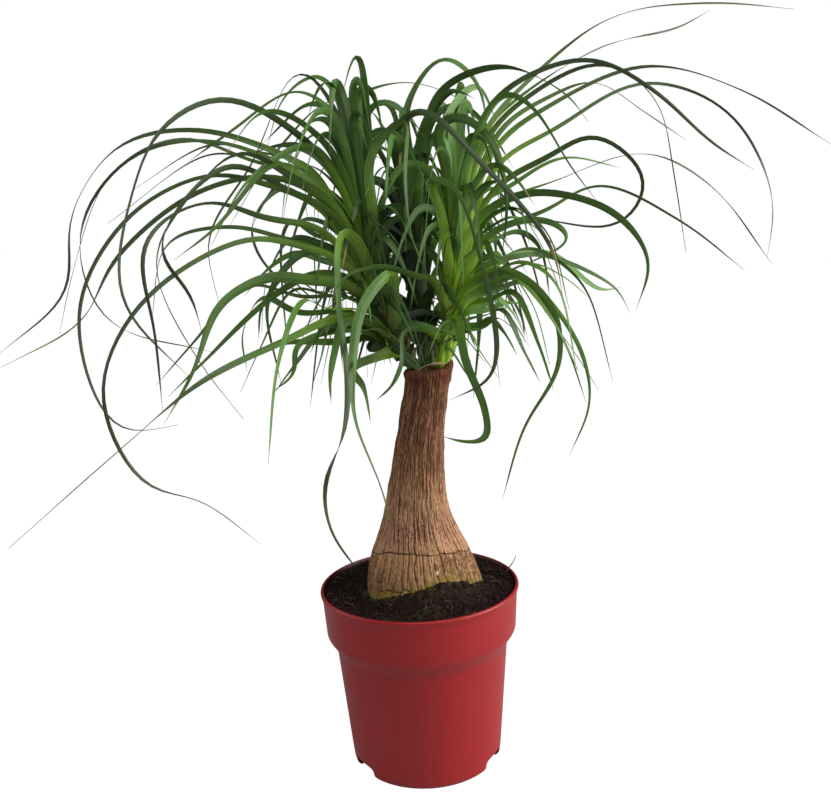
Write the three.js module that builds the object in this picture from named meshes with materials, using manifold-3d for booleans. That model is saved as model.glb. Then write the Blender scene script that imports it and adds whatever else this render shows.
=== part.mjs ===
// Ponytail palm in a plastic nursery pot: a swollen, cut trunk that stands in potting soil, with three
// leafy shoots on its top. Millimetres, +Z up, origin at the centre of the pot's underside, +X to the
// right and +Y away from the side that the plant is seen from.
import * as THREE from "three";
import { mergeVertices } from "three/addons/utils/BufferGeometryUtils.js";
import Module from "manifold-3d";

const wasm = await Module();
wasm.setup();

// ---- driving dimensions ---------------------------------------------------------------------------
const GAP = 0.35; // between pieces that touch

const POT_HEIGHT = 175;
const RIM_RADIUS = 95;
const LIP_WIDTH = 1.8;
const LIP_HEIGHT = 4.5;
const COLLAR_FOOT_RADIUS = 91;
const COLLAR_HEIGHT = 44;
const STEP_HEIGHT = 13;
const BODY_TOP_RADIUS = 81.4;
const BODY_FOOT_RADIUS = 73.2;
const FOOT_BAND = 15; // height at which the wall turns in to the ground edge
const GROUND_RADIUS = 68.6;
const WALL = 1.8;
const FLOOR_TOP = 8;
const FLOOR_THICKNESS = 2;
const PAD_RADIUS = 24; // the middle of the floor is pressed down to the ground
const FOOT_RING_INNER = 64;
const POT_SIDES = 40;

const NOTCH_HEIGHT = 12;
const NOTCH_WIDTH = 32;
const NOTCH_ANGLES = [-28, 92, 212]; // degrees from +X
const DRAIN_HOLE_RADIUS = 4;
const DRAIN_HOLE_CIRCLE = 44;
const DRAIN_HOLES = 6;

const SOIL_EDGE_HEIGHT = 170;
const SOIL_RISE = 2;
// Crumbs heaped against the trunk: the direction, in degrees from +X, and how far they spread away
// from the bark and round it.
const MOUND = { turn: -72, height: 20, outwards: 18, around: 46 };
const SOIL_SIDES = 36;
const SOIL_INSET = 2.6; // of the soil's edge from the rim's inner wall, which narrows below the lip
const SOIL_SHARES = [1, 0.9, 0.78, 0.66, 0.52]; // of the edge's radius, for the rings of the top

// Height, radius and centre x of the trunk's sections; it leans to the right as it rises.
const TRUNK_ROWS = [
  [116, 20, 6],
  [124, 36, 6],
  [140, 49, 6],
  [157, 55, 5],
  [172, 56, 4.5],
  [187, 53, 3.5],
  [205, 47.5, 2.7],
  [220, 41, 2.2],
  [236, 34.5, 1.4],
  [257, 29.3, 1.7],
  [285, 25.9, 3.5],
  [315, 23, 7],
  [349, 21, 12.7],
  [366, 20.4, 16],
  [373, 21.6, 17],
  [381, 22, 18],
  [383, 20, 18],
];
const TRUNK_SIDES = 28;
const TRUNK_TOP = 383;
const SWELL = { radius: 53, x: 3.5 }; // of the trunk where it leaves the soil
const LOBES = { low: 0.012, fine: 0.008, upright: 0.006, top: 260, over: 90 }; // shares of the radius

const LEAF_THICKNESS = 1.4;
const TIP_THICKNESS = 0.8;
const TIP_WIDTH = 1.6;
const STEPS_PER_SPAN = 1.5; // stations between two of a leaf's points
const STEM_SIDES = 8;
// Share of the stem's length and radius of its sections.
const STEM_SECTIONS = [[0, 6.2], [0.12, 7.6], [0.35, 7.2], [0.65, 5.6], [0.9, 3.4], [1, 1.6]];
const ROOT_OFFSET = 3; // from the stem's axis, still well inside the stem
const ROOT_SHARE = { least: 0.06, height: 0.68, rank: 0.22 }; // of the stem's length, up to a leaf's root
const ROOT_HEIGHTS = { low: 400, range: 240 }; // first points of the leaves that root lowest and highest
const FOOT_SWELL = { width: 1.25, share: 0.12 }; // a blade's foot, against its width and its length
const TAPER = 1.7; // power by which a blade narrows
// Long leaves lose this share of their width between two shares of their length, in full past a length.
const SLIMMING = { share: 0.5, from: 0.15, to: 0.5, shortest: 250, full: 440 };
const ROLLED_BY = 0.4; // share of the length by which a leaf has its full roll
const GOLDEN = (Math.sqrt(5) - 1) / 2;
const SAMPLE_STEP = 5;
const CLEARANCE = 8; // between midribs of leaves on different shoots
const OWN_CLEARANCE = 5; // between midribs of one shoot, away from its crowded middle
const CROWDED = 45; // length of a leaf, from its root, that may cross its neighbours
const FACING = 0.7; // how far a given leaf's flat side turns towards the viewed side, 1 being fully
const GIVEN_ROLL = 35; // most that a leaf rolls to either side, in degrees, if its points are given
const DRAWN_ROLL = 60; // and if they are drawn
const TWIST = 70; // most that a leaf twists to either side by its tip, in degrees
const SWERVE = 22; // most that a drawn leaf swerves to either side by its tip, in degrees
const LOWEST_TIP = 330; // of a drawn leaf
const SHOULDER = { out: 0.42, up: 0.7, lift: 0.1 }; // where a leaf bends after it has left the stem
// Ranges for a drawn leaf: height of its crest, fall of its outer arc and of its tip below the crest,
// and the tip's distance against the crest's. The last two are for leaves that grow away from the
// viewed side, which have more room, and for young leaves, which stay close to the stem.
const DRAWN = {
  crest: [445, 640],
  fall: [15, 55],
  drop: [20, 95],
  spread: [1.6, 2.3],
  width: [5, 9],
  rearRoom: 1.5,
  youngReach: 0.65,
};
const TRUNK_COLUMN = { radius: 112, height: 380 }; // drawn leaves keep out of it
const SEED = 64738;

// ---- the three shoots -------------------------------------------------------------------------------
// path: the stem from its foot on the cut trunk up to its growing point.
// leaves: width, then the points that the midrib arches through after it has left the stem.
// sector: middle and half width, in degrees, of the directions in which the drawn leaves grow.
// reach: shortest and longest distance from the stem's tip to the crest of a drawn leaf.
const SHOOTS = {
  shoot_left: {
    path: [[6, -4], [-11, -6, 410], [-30, -4, 450], [-42, 0, 500]],
    color: 0x4a7028,
    sector: [180, 85],
    reach: [30, 115],
    drawn: 17,
    leaves: [
      [8, [-85, -25, 595], [-140, -45, 625], [-190, -70, 600], [-215, -80, 550], [-230, -90, 465],
        [-185, -70, 395]],
      [7, [-125, 0, 590], [-175, 0, 605], [-245, 0, 595], [-295, 0, 535], [-305, 0, 470], [-375, 0, 415]],
      [6, [-100, 20, 570], [-175, 50, 600], [-260, 80, 590], [-325, 105, 520], [-305, 95, 435],
        [-185, 50, 400]],
      [5, [-140, 70, 580], [-215, 120, 610], [-315, 190, 580], [-385, 245, 475], [-415, 265, 405]],
      [11, [-95, -45, 560], [-125, -70, 580], [-170, -110, 535], [-190, -130, 495],
        [-170, -110, 420], [-140, -85, 360]],
      [8, [-100, -35, 550], [-140, -55, 570], [-195, -90, 505], [-175, -80, 465], [-170, -75, 430]],
      [7, [-120, -20, 555], [-155, -30, 565], [-225, -50, 535], [-275, -65, 455],
        [-255, -55, 350], [-205, -45, 350]],
      [8, [-105, -10, 560], [-175, -25, 550], [-250, -35, 495], [-280, -40, 445], [-350, -55, 410]],
      [7, [-115, -55, 525], [-155, -80, 540], [-200, -115, 510], [-200, -110, 435], [-200, -110, 375]],
      [6, [-105, 30, 505], [-165, 60, 520], [-235, 90, 505], [-260, 105, 430]],
      [7, [-90, -30, 500], [-125, -50, 510], [-210, -95, 465], [-245, -120, 395], [-220, -105, 310],
        [-185, -82, 293], [-140, -55, 240]],
      [5, [-135, 95, 590], [-195, 155, 605], [-310, 270, 570]],
      [5, [-125, 50, 575], [-180, 80, 590], [-310, 155, 530]],
      [10, [-50, -5, 610], [-80, -15, 650], [-125, -30, 570], [-165, -45, 510], [-160, -45, 455]],
      [6, [-50, 5, 625], [-70, 35, 650], [-110, 85, 635], [-130, 110, 595]],
      [7, [-50, 0, 605], [-85, 10, 635], [-150, 30, 605], [-195, 40, 580]],
      [7, [-50, 10, 610], [-75, 20, 625], [-125, 50, 595]],
      [9, [-65, -25, 590], [-105, -65, 610], [-135, -95, 575]],
      [8, [-75, 10, 580], [-100, 20, 590], [-135, 35, 585]],
      [8, [-60, -15, 570], [-75, -25, 585], [-125, -60, 555], [-155, -80, 505]],
      [7, [-95, 45, 545], [-110, 60, 555], [-150, 95, 520], [-140, 85, 485], [-90, 45, 445]],
      [7, [-85, -15, 495], [-120, -30, 455], [-115, -25, 380]],
      [10, [-85, -25, 470], [-115, -40, 475], [-155, -65, 455], [-180, -80, 400], [-205, -95, 360]],
      [7, [-75, -5, 475], [-120, -5, 455], [-185, -15, 400], [-220, -15, 370]],
      [11, [-60, -10, 435], [-105, -45, 420], [-170, -90, 395], [-230, -135, 350], [-305, -185, 290]],
      [7, [-105, 110, 520], [-115, 115, 470], [-85, 70, 440]],
      [8, [-70, 15, 425], [-110, 40, 385], [-135, 55, 355]],
      [7, [-65, 10, 410], [-110, 25, 410], [-150, 40, 400]],
      [7, [-75, -5, 420], [-100, -10, 410], [-105, -10, 385], [-125, -15, 370]],
      [7, [-55, -25, 430], [-65, -25, 405], [-70, -35, 380], [-70, -35, 360]],
      [11, [-50, -40, 515], [-55, -75, 455], [-50, -90, 400], [-55, -95, 345], [-75, -95, 305],
        [-75, -85, 265], [-55, -12, 190]],
      [11, [-10, -60, 475], [-35, -85, 450], [-45, -100, 400], [-45, -105, 360], [-25, -105, 295],
        [-20, -95, 255]],
      [8, [-50, -30, 390], [-40, -45, 375], [-35, -55, 345]],
      [9, [-25, -10, 590], [-30, -20, 660], [-45, -20, 625]],
      [10, [-25, -25, 570], [10, -60, 600], [5, -80, 555], [10, -90, 495], [35, -85, 445]],
    ],
  },
  shoot_right: {
    path: [[30, -3], [39, -2, 415], [45, 0, 455], [54, 2, 495]],
    color: 0x5f8a2c,
    sector: [0, 85],
    reach: [22, 72],
    drawn: 25,
    leaves: [
      [6, [120, 35, 635], [205, 75, 695], [315, 130, 715], [420, 180, 715]],
      [5, [115, 65, 625], [210, 140, 680], [310, 225, 710], [360, 270, 735]],
      [7, [90, -10, 620], [165, -20, 645], [220, -30, 615], [265, -40, 570], [300, -45, 545]],
      [6, [105, -30, 610], [170, -60, 635], [210, -80, 600], [220, -85, 550], [230, -90, 480]],
      [6, [135, 0, 610], [220, 0, 640], [305, 0, 615], [385, 0, 565]],
      [6, [145, 60, 625], [195, 90, 640], [245, 120, 615], [300, 150, 585]],
      [5, [140, 15, 590], [225, 30, 630], [310, 45, 600], [355, 55, 520], [350, 55, 465]],
      [6, [130, -30, 565], [165, -45, 580], [205, -60, 540], [185, -50, 505], [110, -25, 515]],
      [6, [105, 45, 545], [160, 85, 570], [225, 125, 560]],
      [5, [140, 35, 545], [240, 75, 570], [310, 95, 535], [380, 120, 455]],
      [6, [130, -10, 520], [175, -10, 540], [245, -20, 505], [300, -25, 460]],
      [8, [90, -30, 530], [120, -45, 535], [175, -75, 515], [200, -90, 475], [190, -85, 435]],
      [7, [90, -60, 615], [110, -80, 600], [135, -110, 550], [150, -130, 525]],
      [6, [95, -20, 510], [130, -30, 510], [145, -35, 495], [100, -20, 470]],
      [5, [105, 15, 480], [130, 25, 480], [200, 40, 445], [215, 45, 420]],
      [6, [140, 55, 480], [195, 90, 440], [220, 105, 440]],
      [7, [80, -25, 470], [95, -40, 470], [125, -60, 440], [130, -60, 390], [100, -40, 330],
        [80, -25, 260]],
      [5, [85, -5, 465], [110, -5, 460], [155, -10, 400], [165, -10, 345], [145, -10, 295]],
      [5, [100, 20, 460], [150, 40, 400], [185, 50, 345]],
      [6, [75, 35, 430], [100, 50, 435], [120, 60, 430]],
      [8, [45, 10, 605], [75, 35, 635], [95, 65, 605]],
      [9, [35, 0, 595], [50, -5, 605], [80, -40, 580], [90, -50, 530], [85, -40, 480]],
      [9, [25, -40, 550], [45, -55, 545], [65, -75, 480], [75, -85, 410], [70, -80, 385], [35, -45, 360]],
      [9, [45, -28, 430], [50, -40, 395], [65, -50, 350], [65, -50, 325], [45, -45, 322], [25, -42, 328]],
      [8, [10, -48, 470], [-20, -68, 480], [-50, -84, 472], [-62, -90, 450]],
      [7, [-2, -32, 420], [-5, -42, 395], [-15, -42, 375], [-30, -40, 362]],
    ],
  },
  shoot_back: {
    path: [[18, 11], [15, 24, 415], [11, 34, 450], [8, 42, 490]],
    color: 0x33511f,
    sector: [90, 75],
    reach: [30, 110],
    drawn: 22,
    leaves: [
      [9, [10, 30, 620], [45, 25, 660], [75, 20, 635], [82, 20, 595]],
      [5, [-45, -5, 615], [5, 25, 640], [65, 65, 625], [85, 80, 605]],
      [8, [40, 10, 628], [95, -20, 642], [148, -33, 612], [162, -36, 592]],
      [10, [-5, 12, 590], [22, -22, 610], [70, -58, 560], [120, -98, 490], [128, -98, 450]],
      [9, [25, 30, 600], [50, 20, 630], [70, 5, 620]],
    ],
  },
};

// ---- solids -------------------------------------------------------------------------------------------
const vec = (x, y, z) => new THREE.Vector3(x, y, z);

// A closed geometry as a solid: equal corners become one, and faces that collapse there go.
function solidOf(geometry) {
  const bare = geometry.clone();
  for (const name of Object.keys(bare.attributes)) {
    if (name !== "position") bare.deleteAttribute(name);
  }
  const merged = mergeVertices(bare, 1e-4);
  const index = merged.index.array;
  const kept = [];
  for (let i = 0; i < index.length; i += 3) {
    const [a, b, c] = index.slice(i, i + 3);
    if (a !== b && b !== c && c !== a) kept.push(a, b, c);
  }
  return new wasm.Manifold(
    new wasm.Mesh({
      numProp: 3,
      vertProperties: new Float32Array(merged.attributes.position.array),
      triVerts: new Uint32Array(kept),
    }),
  );
}

function meshOf(name, solid, look) {
  const mesh = solid.getMesh();
  const geometry = new THREE.BufferGeometry();
  geometry.setAttribute("position", new THREE.BufferAttribute(mesh.vertProperties, 3));
  geometry.setIndex(new THREE.BufferAttribute(mesh.triVerts, 1));
  geometry.computeVertexNormals();
  const made = new THREE.Mesh(geometry, new THREE.MeshStandardMaterial(look));
  made.name = name;
  return made;
}

// A skin over rings of equally many points, each ring anticlockwise as seen from where the rings lead.
// The ends are flat fans; a last ring of one point makes an apex.
function loft(rings) {
  const count = rings[0].length;
  const last = rings.length - 1;
  const index = [];
  for (let i = 0; i < last; i += 1) {
    const apex = rings[i + 1].length === 1;
    for (let j = 0; j < count; j += 1) {
      const a = i * count + j;
      const b = i * count + ((j + 1) % count);
      if (apex) {
        index.push(a, b, (i + 1) * count);
      } else {
        index.push(a, b, b + count, a, b + count, a + count);
      }
    }
  }
  for (let j = 1; j < count - 1; j += 1) {
    index.push(0, j + 1, j);
    if (rings[last].length > 1) index.push(last * count, last * count + j, last * count + j + 1);
  }
  const geometry = new THREE.BufferGeometry().setFromPoints(rings.flat());
  geometry.setIndex(index);
  return geometry;
}

function circleRing(radius, z, sides, centreX = 0, wobble = () => 1) {
  return Array.from({ length: sides }, (_, k) => {
    const angle = (2 * Math.PI * k) / sides;
    const r = radius * wobble(angle, z);
    return vec(centreX + r * Math.cos(angle), r * Math.sin(angle), z);
  });
}

// A closed profile of (radius, height) points turned about the Z axis.
function turned(profile, sides) {
  const geometry = new THREE.LatheGeometry(
    profile.map(([r, z]) => new THREE.Vector2(r, z)),
    sides,
  );
  return geometry.rotateX(Math.PI / 2);
}

// ---- pot ----------------------------------------------------------------------------------------------
const COLLAR_FOOT = POT_HEIGHT - COLLAR_HEIGHT;
const BODY_TOP = COLLAR_FOOT - STEP_HEIGHT;
const innerWall = (radius) => radius - WALL;

function pot() {
  const profile = [
    [0, 0],
    [PAD_RADIUS, 0],
    [PAD_RADIUS + 3, FLOOR_TOP - FLOOR_THICKNESS],
    [FOOT_RING_INNER - 2, FLOOR_TOP - FLOOR_THICKNESS],
    [FOOT_RING_INNER, 0],
    [GROUND_RADIUS, 0],
    [BODY_FOOT_RADIUS - 1.2, 4],
    [BODY_FOOT_RADIUS, FOOT_BAND],
    [BODY_TOP_RADIUS, BODY_TOP],
    [BODY_TOP_RADIUS + 3, BODY_TOP + 2.5],
    [COLLAR_FOOT_RADIUS - 2, COLLAR_FOOT - 3],
    [COLLAR_FOOT_RADIUS, COLLAR_FOOT],
    [RIM_RADIUS - LIP_WIDTH, POT_HEIGHT - LIP_HEIGHT],
    [RIM_RADIUS, POT_HEIGHT - LIP_HEIGHT + 1],
    [RIM_RADIUS, POT_HEIGHT - 1.2],
    [RIM_RADIUS - 1, POT_HEIGHT],
    [innerWall(RIM_RADIUS) - 0.8, POT_HEIGHT],
    [innerWall(RIM_RADIUS - LIP_WIDTH) - 0.2, POT_HEIGHT - LIP_HEIGHT],
    [innerWall(COLLAR_FOOT_RADIUS), COLLAR_FOOT + 1],
    [innerWall(BODY_TOP_RADIUS), BODY_TOP + 1],
    [innerWall(BODY_FOOT_RADIUS), FOOT_BAND],
    [innerWall(BODY_FOOT_RADIUS) - 1, FLOOR_TOP],
    [PAD_RADIUS + 1, FLOOR_TOP],
    [PAD_RADIUS - 2, FLOOR_THICKNESS],
    [0, FLOOR_THICKNESS],
  ];
  let body = solidOf(turned(profile, POT_SIDES));
  for (const angle of NOTCH_ANGLES) {
    const turn = THREE.MathUtils.degToRad(angle);
    const depth = BODY_FOOT_RADIUS - PAD_RADIUS;
    const slot = new THREE.BoxGeometry(depth, NOTCH_WIDTH, 2 * NOTCH_HEIGHT);
    const inner = FOOT_RING_INNER - 4;
    slot.translate(inner + depth / 2, 0, 0).rotateZ(turn);
    body = body.subtract(solidOf(slot));
  }
  for (let k = 0; k < DRAIN_HOLES; k += 1) {
    const turn = (2 * Math.PI * k) / DRAIN_HOLES;
    const drill = new THREE.CylinderGeometry(DRAIN_HOLE_RADIUS, DRAIN_HOLE_RADIUS, 4 * FLOOR_TOP, 8);
    drill.rotateX(Math.PI / 2);
    drill.translate(DRAIN_HOLE_CIRCLE * Math.cos(turn), DRAIN_HOLE_CIRCLE * Math.sin(turn), 0);
    body = body.subtract(solidOf(drill));
  }
  return body;
}

// ---- trunk --------------------------------------------------------------------------------------------
// The swollen base is faintly lobed; the lobes die out where the trunk narrows.
function trunkWobble(angle, z) {
  const base = THREE.MathUtils.clamp((LOBES.top - z) / LOBES.over, 0, 1);
  return 1 + base * (LOBES.low * Math.sin(3 * angle + 0.6) + LOBES.fine * Math.sin(7 * angle + 2)) +
    LOBES.upright * Math.sin(5 * angle + z / 21);
}

function trunk() {
  const rings = TRUNK_ROWS.map(([z, radius, x]) => circleRing(radius, z, TRUNK_SIDES, x, trunkWobble));
  return solidOf(loft(rings));
}

// ---- soil ---------------------------------------------------------------------------------------------
function moundHeight(x, y) {
  const out = Math.max(0, Math.hypot(x - SWELL.x, y) - SWELL.radius) / MOUND.outwards;
  const turn = THREE.MathUtils.degToRad(MOUND.turn);
  const aside = Math.atan2(y, x - SWELL.x) - turn;
  const round = (SWELL.radius * Math.atan2(Math.sin(aside), Math.cos(aside))) / MOUND.around;
  return MOUND.height * Math.exp(-out * out - round * round);
}

function soilHeight(x, y) {
  const r = Math.hypot(x, y);
  const edge = innerWall(RIM_RADIUS);
  const rise = SOIL_RISE * (1 - (r / edge) ** 2);
  const lumps = 1.1 * Math.sin(x / 9 + 1) * Math.sin(y / 11 + 2) + 0.6 * Math.sin(x / 5 + y / 6);
  return SOIL_EDGE_HEIGHT + rise + moundHeight(x, y) + lumps;
}

function soil() {
  const foot = innerWall(BODY_FOOT_RADIUS) - GAP;
  const edge = innerWall(RIM_RADIUS) - SOIL_INSET - GAP;
  const rings = [
    circleRing(foot - 1.3, FLOOR_TOP + GAP, SOIL_SIDES),
    circleRing(foot, FOOT_BAND, SOIL_SIDES),
    circleRing(innerWall(BODY_TOP_RADIUS) - GAP, BODY_TOP + 1, SOIL_SIDES),
    circleRing(innerWall(COLLAR_FOOT_RADIUS) - GAP - 0.2, COLLAR_FOOT + 1.5, SOIL_SIDES),
  ];
  for (const share of SOIL_SHARES) {
    const ring = circleRing(edge * share, 0, SOIL_SIDES);
    rings.push(ring.map((p) => vec(p.x, p.y, soilHeight(p.x, p.y))));
  }
  rings.push([vec(0, 0, SOIL_EDGE_HEIGHT + SOIL_RISE)]);
  return solidOf(loft(rings)).subtract(pitFor());
}

// The plain hole that the trunk stands in: its shape, wider by the gap and deeper by the gap.
function pitFor() {
  const rings = TRUNK_ROWS.filter(([z]) => z < 240).map(([z, radius, x]) =>
    circleRing(radius + GAP, z - GAP, TRUNK_SIDES, x, trunkWobble));
  return solidOf(loft(rings));
}

// ---- leaves -------------------------------------------------------------------------------------------
function makeRandom(seed) {
  let state = seed;
  return () => {
    state = (state * 48271) % 2147483647;
    return state / 2147483647;
  };
}

const between = (low, high, share) => low + (high - low) * share;
const VIEW_AXIS = vec(0, 1, 0);

function stemCurve(shoot) {
  const [[footX, footY], ...rest] = shoot.path;
  const points = [vec(footX, footY, TRUNK_TOP + GAP), ...rest.map((p) => vec(...p))];
  return new THREE.CatmullRomCurve3(points, false, "centripetal");
}

// The midrib: it leaves the stem steeply, higher up for a leaf that arches higher, and then passes
// through the leaf's own points. Roots follow each other up the stem by the golden ratio.
function midrib(stem, points, order) {
  const rank = (order * GOLDEN) % 1;
  const height = THREE.MathUtils.clamp((points[0].z - ROOT_HEIGHTS.low) / ROOT_HEIGHTS.range, 0, 1);
  const share = ROOT_SHARE.least + ROOT_SHARE.height * height + ROOT_SHARE.rank * rank;
  const root = stem.getPoint(share);
  const outward = points[0].clone().sub(root).setZ(0).setLength(ROOT_OFFSET * (1 - share) + 1);
  root.add(outward);
  const toFirst = points[0].clone().sub(root);
  const { out, up, lift } = SHOULDER;
  const rise = up * toFirst.z + lift * Math.hypot(toFirst.x, toFirst.y);
  const shoulder = root.clone().add(vec(out * toFirst.x, out * toFirst.y, rise));
  return new THREE.CatmullRomCurve3([root, shoulder, ...points], false, "centripetal");
}

// Widest a little way up, then narrowing to a thread, and the longer the leaf, the sooner.
function bladeWidth(width, length, share) {
  const foot = between(FOOT_SWELL.width, 1, Math.min(1, share / FOOT_SWELL.share));
  const long = THREE.MathUtils.smoothstep(length, SLIMMING.shortest, SLIMMING.full);
  const slimmed = THREE.MathUtils.smoothstep(share, SLIMMING.from, SLIMMING.to);
  const slim = 1 - SLIMMING.share * long * slimmed;
  return TIP_WIDTH + (width - TIP_WIDTH) * foot * slim * (1 - share ** TAPER);
}

// A blade with a flat face and a keel, lofted along its midrib. Its flat side starts level, is carried
// along the midrib, turns some way towards the viewed side, and rolls and twists about the midrib.
function blade(leaf) {
  const { curve, width, facing, roll, twist } = leaf;
  const length = curve.getLength();
  const steps = Math.round(STEPS_PER_SPAN * (curve.points.length - 1));
  const rings = [];
  const heading = curve.points[2].clone().sub(curve.points[0]);
  let side = vec(-heading.y, heading.x, 0).normalize();
  let towards = 0;
  for (let i = 0; i < steps; i += 1) {
    const share = i / steps;
    const centre = curve.getPoint(share);
    const tangent = curve.getTangent(share);
    side = side.clone().addScaledVector(tangent, -side.dot(tangent)).normalize();
    const flat = VIEW_AXIS.clone().cross(tangent);
    const angle = Math.atan2(tangent.dot(side.clone().cross(flat)), side.dot(flat));
    towards = angle - Math.PI * Math.round((angle - towards) / Math.PI);
    const turn = facing * towards + roll * Math.min(1, share / ROLLED_BY) + twist * share * share;
    const across = side.clone().applyAxisAngle(tangent, turn);
    const up = tangent.clone().cross(across);
    const half = bladeWidth(width, length, share) / 2;
    const thick = between(LEAF_THICKNESS, TIP_THICKNESS, share);
    rings.push([
      centre.clone().addScaledVector(across, half).addScaledVector(up, thick / 3),
      centre.clone().addScaledVector(across, -half).addScaledVector(up, thick / 3),
      centre.clone().addScaledVector(up, -thick * 2 / 3),
    ]);
  }
  rings.push([curve.getPoint(1)]);
  return solidOf(loft(rings));
}

// One more leaf of a shoot: it rises to a crest, then falls outwards and swerves a little. Young leaves
// stand high and close to the stem, and those that grow away from the viewed side reach further.
function drawnPoints(random, shoot) {
  const [middle, half] = shoot.sector;
  const top = shoot.path.at(-1);
  const azimuth = THREE.MathUtils.degToRad(middle + half * (2 * random() - 1));
  const swerve = THREE.MathUtils.degToRad(between(-SWERVE, SWERVE, random()));
  const youth = random();
  const room = between(1, DRAWN.rearRoom, Math.max(0, Math.sin(azimuth)));
  const reach = room * between(...shoot.reach, random()) * between(1, DRAWN.youngReach, youth);
  const crest = between(...DRAWN.crest, youth);
  const fall = between(...DRAWN.fall, random());
  const drop = fall + room * between(...DRAWN.drop, random());
  const spread = between(...DRAWN.spread, random());
  const profile = [
    [0.55, crest - 0.12 * reach],
    [1, crest],
    [between(1, spread, 0.62), crest - fall],
    [spread, Math.max(crest - drop, LOWEST_TIP)],
  ];
  return profile.map(([share, z], i) => {
    const angle = azimuth + (swerve * i) / 3;
    return vec(top[0] + share * reach * Math.cos(angle), top[1] + share * reach * Math.sin(angle), z);
  });
}

// Points along a midrib, close enough together to measure how far two leaves are apart.
function samples(curve) {
  const count = Math.ceil(curve.getLength() / SAMPLE_STEP);
  return Array.from({ length: count + 1 }, (_, k) => curve.getPoint(k / count));
}

function isClear(path, others, distance) {
  return others.every((other) =>
    path.every((p) => other.every((q) => p.distanceToSquared(q) > distance ** 2)));
}

const outer = (path) => path.slice(CROWDED / SAMPLE_STEP);

// A drawn leaf keeps out of the column that holds the trunk and the pot.
function leavesTrunkFree(path) {
  const { radius, height } = TRUNK_COLUMN;
  return path.every((p) => p.z > height || Math.hypot(p.x, p.y) > radius);
}

function growLeaves() {
  const random = makeRandom(SEED);
  const names = Object.keys(SHOOTS);
  const grown = Object.fromEntries(names.map((name) => [name, []]));
  const keep = (name, curve, width, path, facing, mostRoll) => {
    const roll = THREE.MathUtils.degToRad(between(-mostRoll, mostRoll, random()));
    const twist = THREE.MathUtils.degToRad(between(-TWIST, TWIST, random()));
    grown[name].push({ curve, width, facing, roll, twist, path });
  };
  for (const name of names) {
    const stem = stemCurve(SHOOTS[name]);
    for (const [width, ...points] of SHOOTS[name].leaves) {
      const curve = midrib(stem, points.map((p) => vec(...p)), grown[name].length);
      keep(name, curve, width, samples(curve), FACING, GIVEN_ROLL);
    }
  }
  for (const name of names) {
    const stem = stemCurve(SHOOTS[name]);
    const others = names.filter((other) => other !== name);
    let wanted = SHOOTS[name].drawn;
    while (wanted > 0) {
      const curve = midrib(stem, drawnPoints(random, SHOOTS[name]), grown[name].length);
      const width = between(...DRAWN.width, random());
      const path = samples(curve);
      const far = others.flatMap((other) => grown[other].map((leaf) => leaf.path));
      const own = grown[name].map((leaf) => outer(leaf.path));
      if (!leavesTrunkFree(path) || !isClear(path, far, CLEARANCE)) continue;
      if (!isClear(outer(path), own, OWN_CLEARANCE)) continue;
      keep(name, curve, width, path, 0, DRAWN_ROLL);
      wanted -= 1;
    }
  }
  return grown;
}

// A shoot is one body: scraps that touch nothing go, and so do the skins of sealed hollows.
function oneBody(solid) {
  const pieces = solid.decompose();
  return pieces.reduce((best, piece) => (piece.volume() > best.volume() ? piece : best));
}

// The stem of packed leaf bases: flat-footed, swollen low down and thin at its growing point.
function stem(shoot) {
  const curve = stemCurve(shoot);
  const rings = [];
  for (const [share, radius] of STEM_SECTIONS) {
    const centre = curve.getPoint(share);
    rings.push(circleRing(radius, centre.z, STEM_SIDES, centre.x).map((p) => p.setY(p.y + centre.y)));
  }
  return solidOf(loft(rings));
}

// ---- the plant in its pot -----------------------------------------------------------------------------
const plant = new THREE.Group();
plant.name = "potted_ponytail_palm";
plant.add(meshOf("pot", pot(), { color: 0xa83c3c, roughness: 0.42, metalness: 0 }));
plant.add(meshOf("soil", soil(), { color: 0x2b1c16, roughness: 1, metalness: 0 }));
plant.add(meshOf("trunk", trunk(), { color: 0x7d5b43, roughness: 0.9, metalness: 0 }));

const grown = growLeaves();
for (const [name, shoot] of Object.entries(SHOOTS)) {
  const solids = [stem(shoot), ...grown[name].map(blade)];
  const look = { color: shoot.color, roughness: 0.45, metalness: 0 };
  plant.add(meshOf(name, oneBody(wasm.Manifold.union(solids)), look));
}

export default plant;
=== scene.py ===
"""Looks of a ponytail palm in a plastic nursery pot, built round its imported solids.

+Z up, +X to the right, -Y towards the side that the plant is seen from. Shapes are worked out in
millimetres, with the same figures as the solids, and turned into metres when a mesh is made.
"""

import math

import bpy
import numpy as np
from bpy.props import FloatProperty, FloatVectorProperty, IntProperty
from mathutils import Matrix


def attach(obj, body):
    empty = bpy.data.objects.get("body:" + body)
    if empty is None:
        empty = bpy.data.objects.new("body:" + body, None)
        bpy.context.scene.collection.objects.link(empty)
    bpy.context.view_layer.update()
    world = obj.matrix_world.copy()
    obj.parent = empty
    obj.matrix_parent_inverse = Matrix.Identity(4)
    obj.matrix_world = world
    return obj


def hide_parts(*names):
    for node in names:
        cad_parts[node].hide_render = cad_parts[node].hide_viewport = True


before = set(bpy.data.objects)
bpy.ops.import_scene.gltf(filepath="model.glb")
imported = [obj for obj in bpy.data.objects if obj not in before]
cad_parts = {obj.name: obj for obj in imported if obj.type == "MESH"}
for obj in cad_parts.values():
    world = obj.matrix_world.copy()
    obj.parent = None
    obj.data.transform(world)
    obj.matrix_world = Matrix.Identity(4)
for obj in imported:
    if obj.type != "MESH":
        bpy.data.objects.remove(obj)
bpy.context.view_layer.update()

bl_info = {
    "name": "Potted ponytail palm",
    "version": (1, 0, 0),
    "blender": (4, 5, 0),
    "location": "3D View > Sidebar > Palm",
    "description": "Builds the looks of a ponytail palm in its pot round the packed solids",
    "category": "Object",
}

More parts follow.
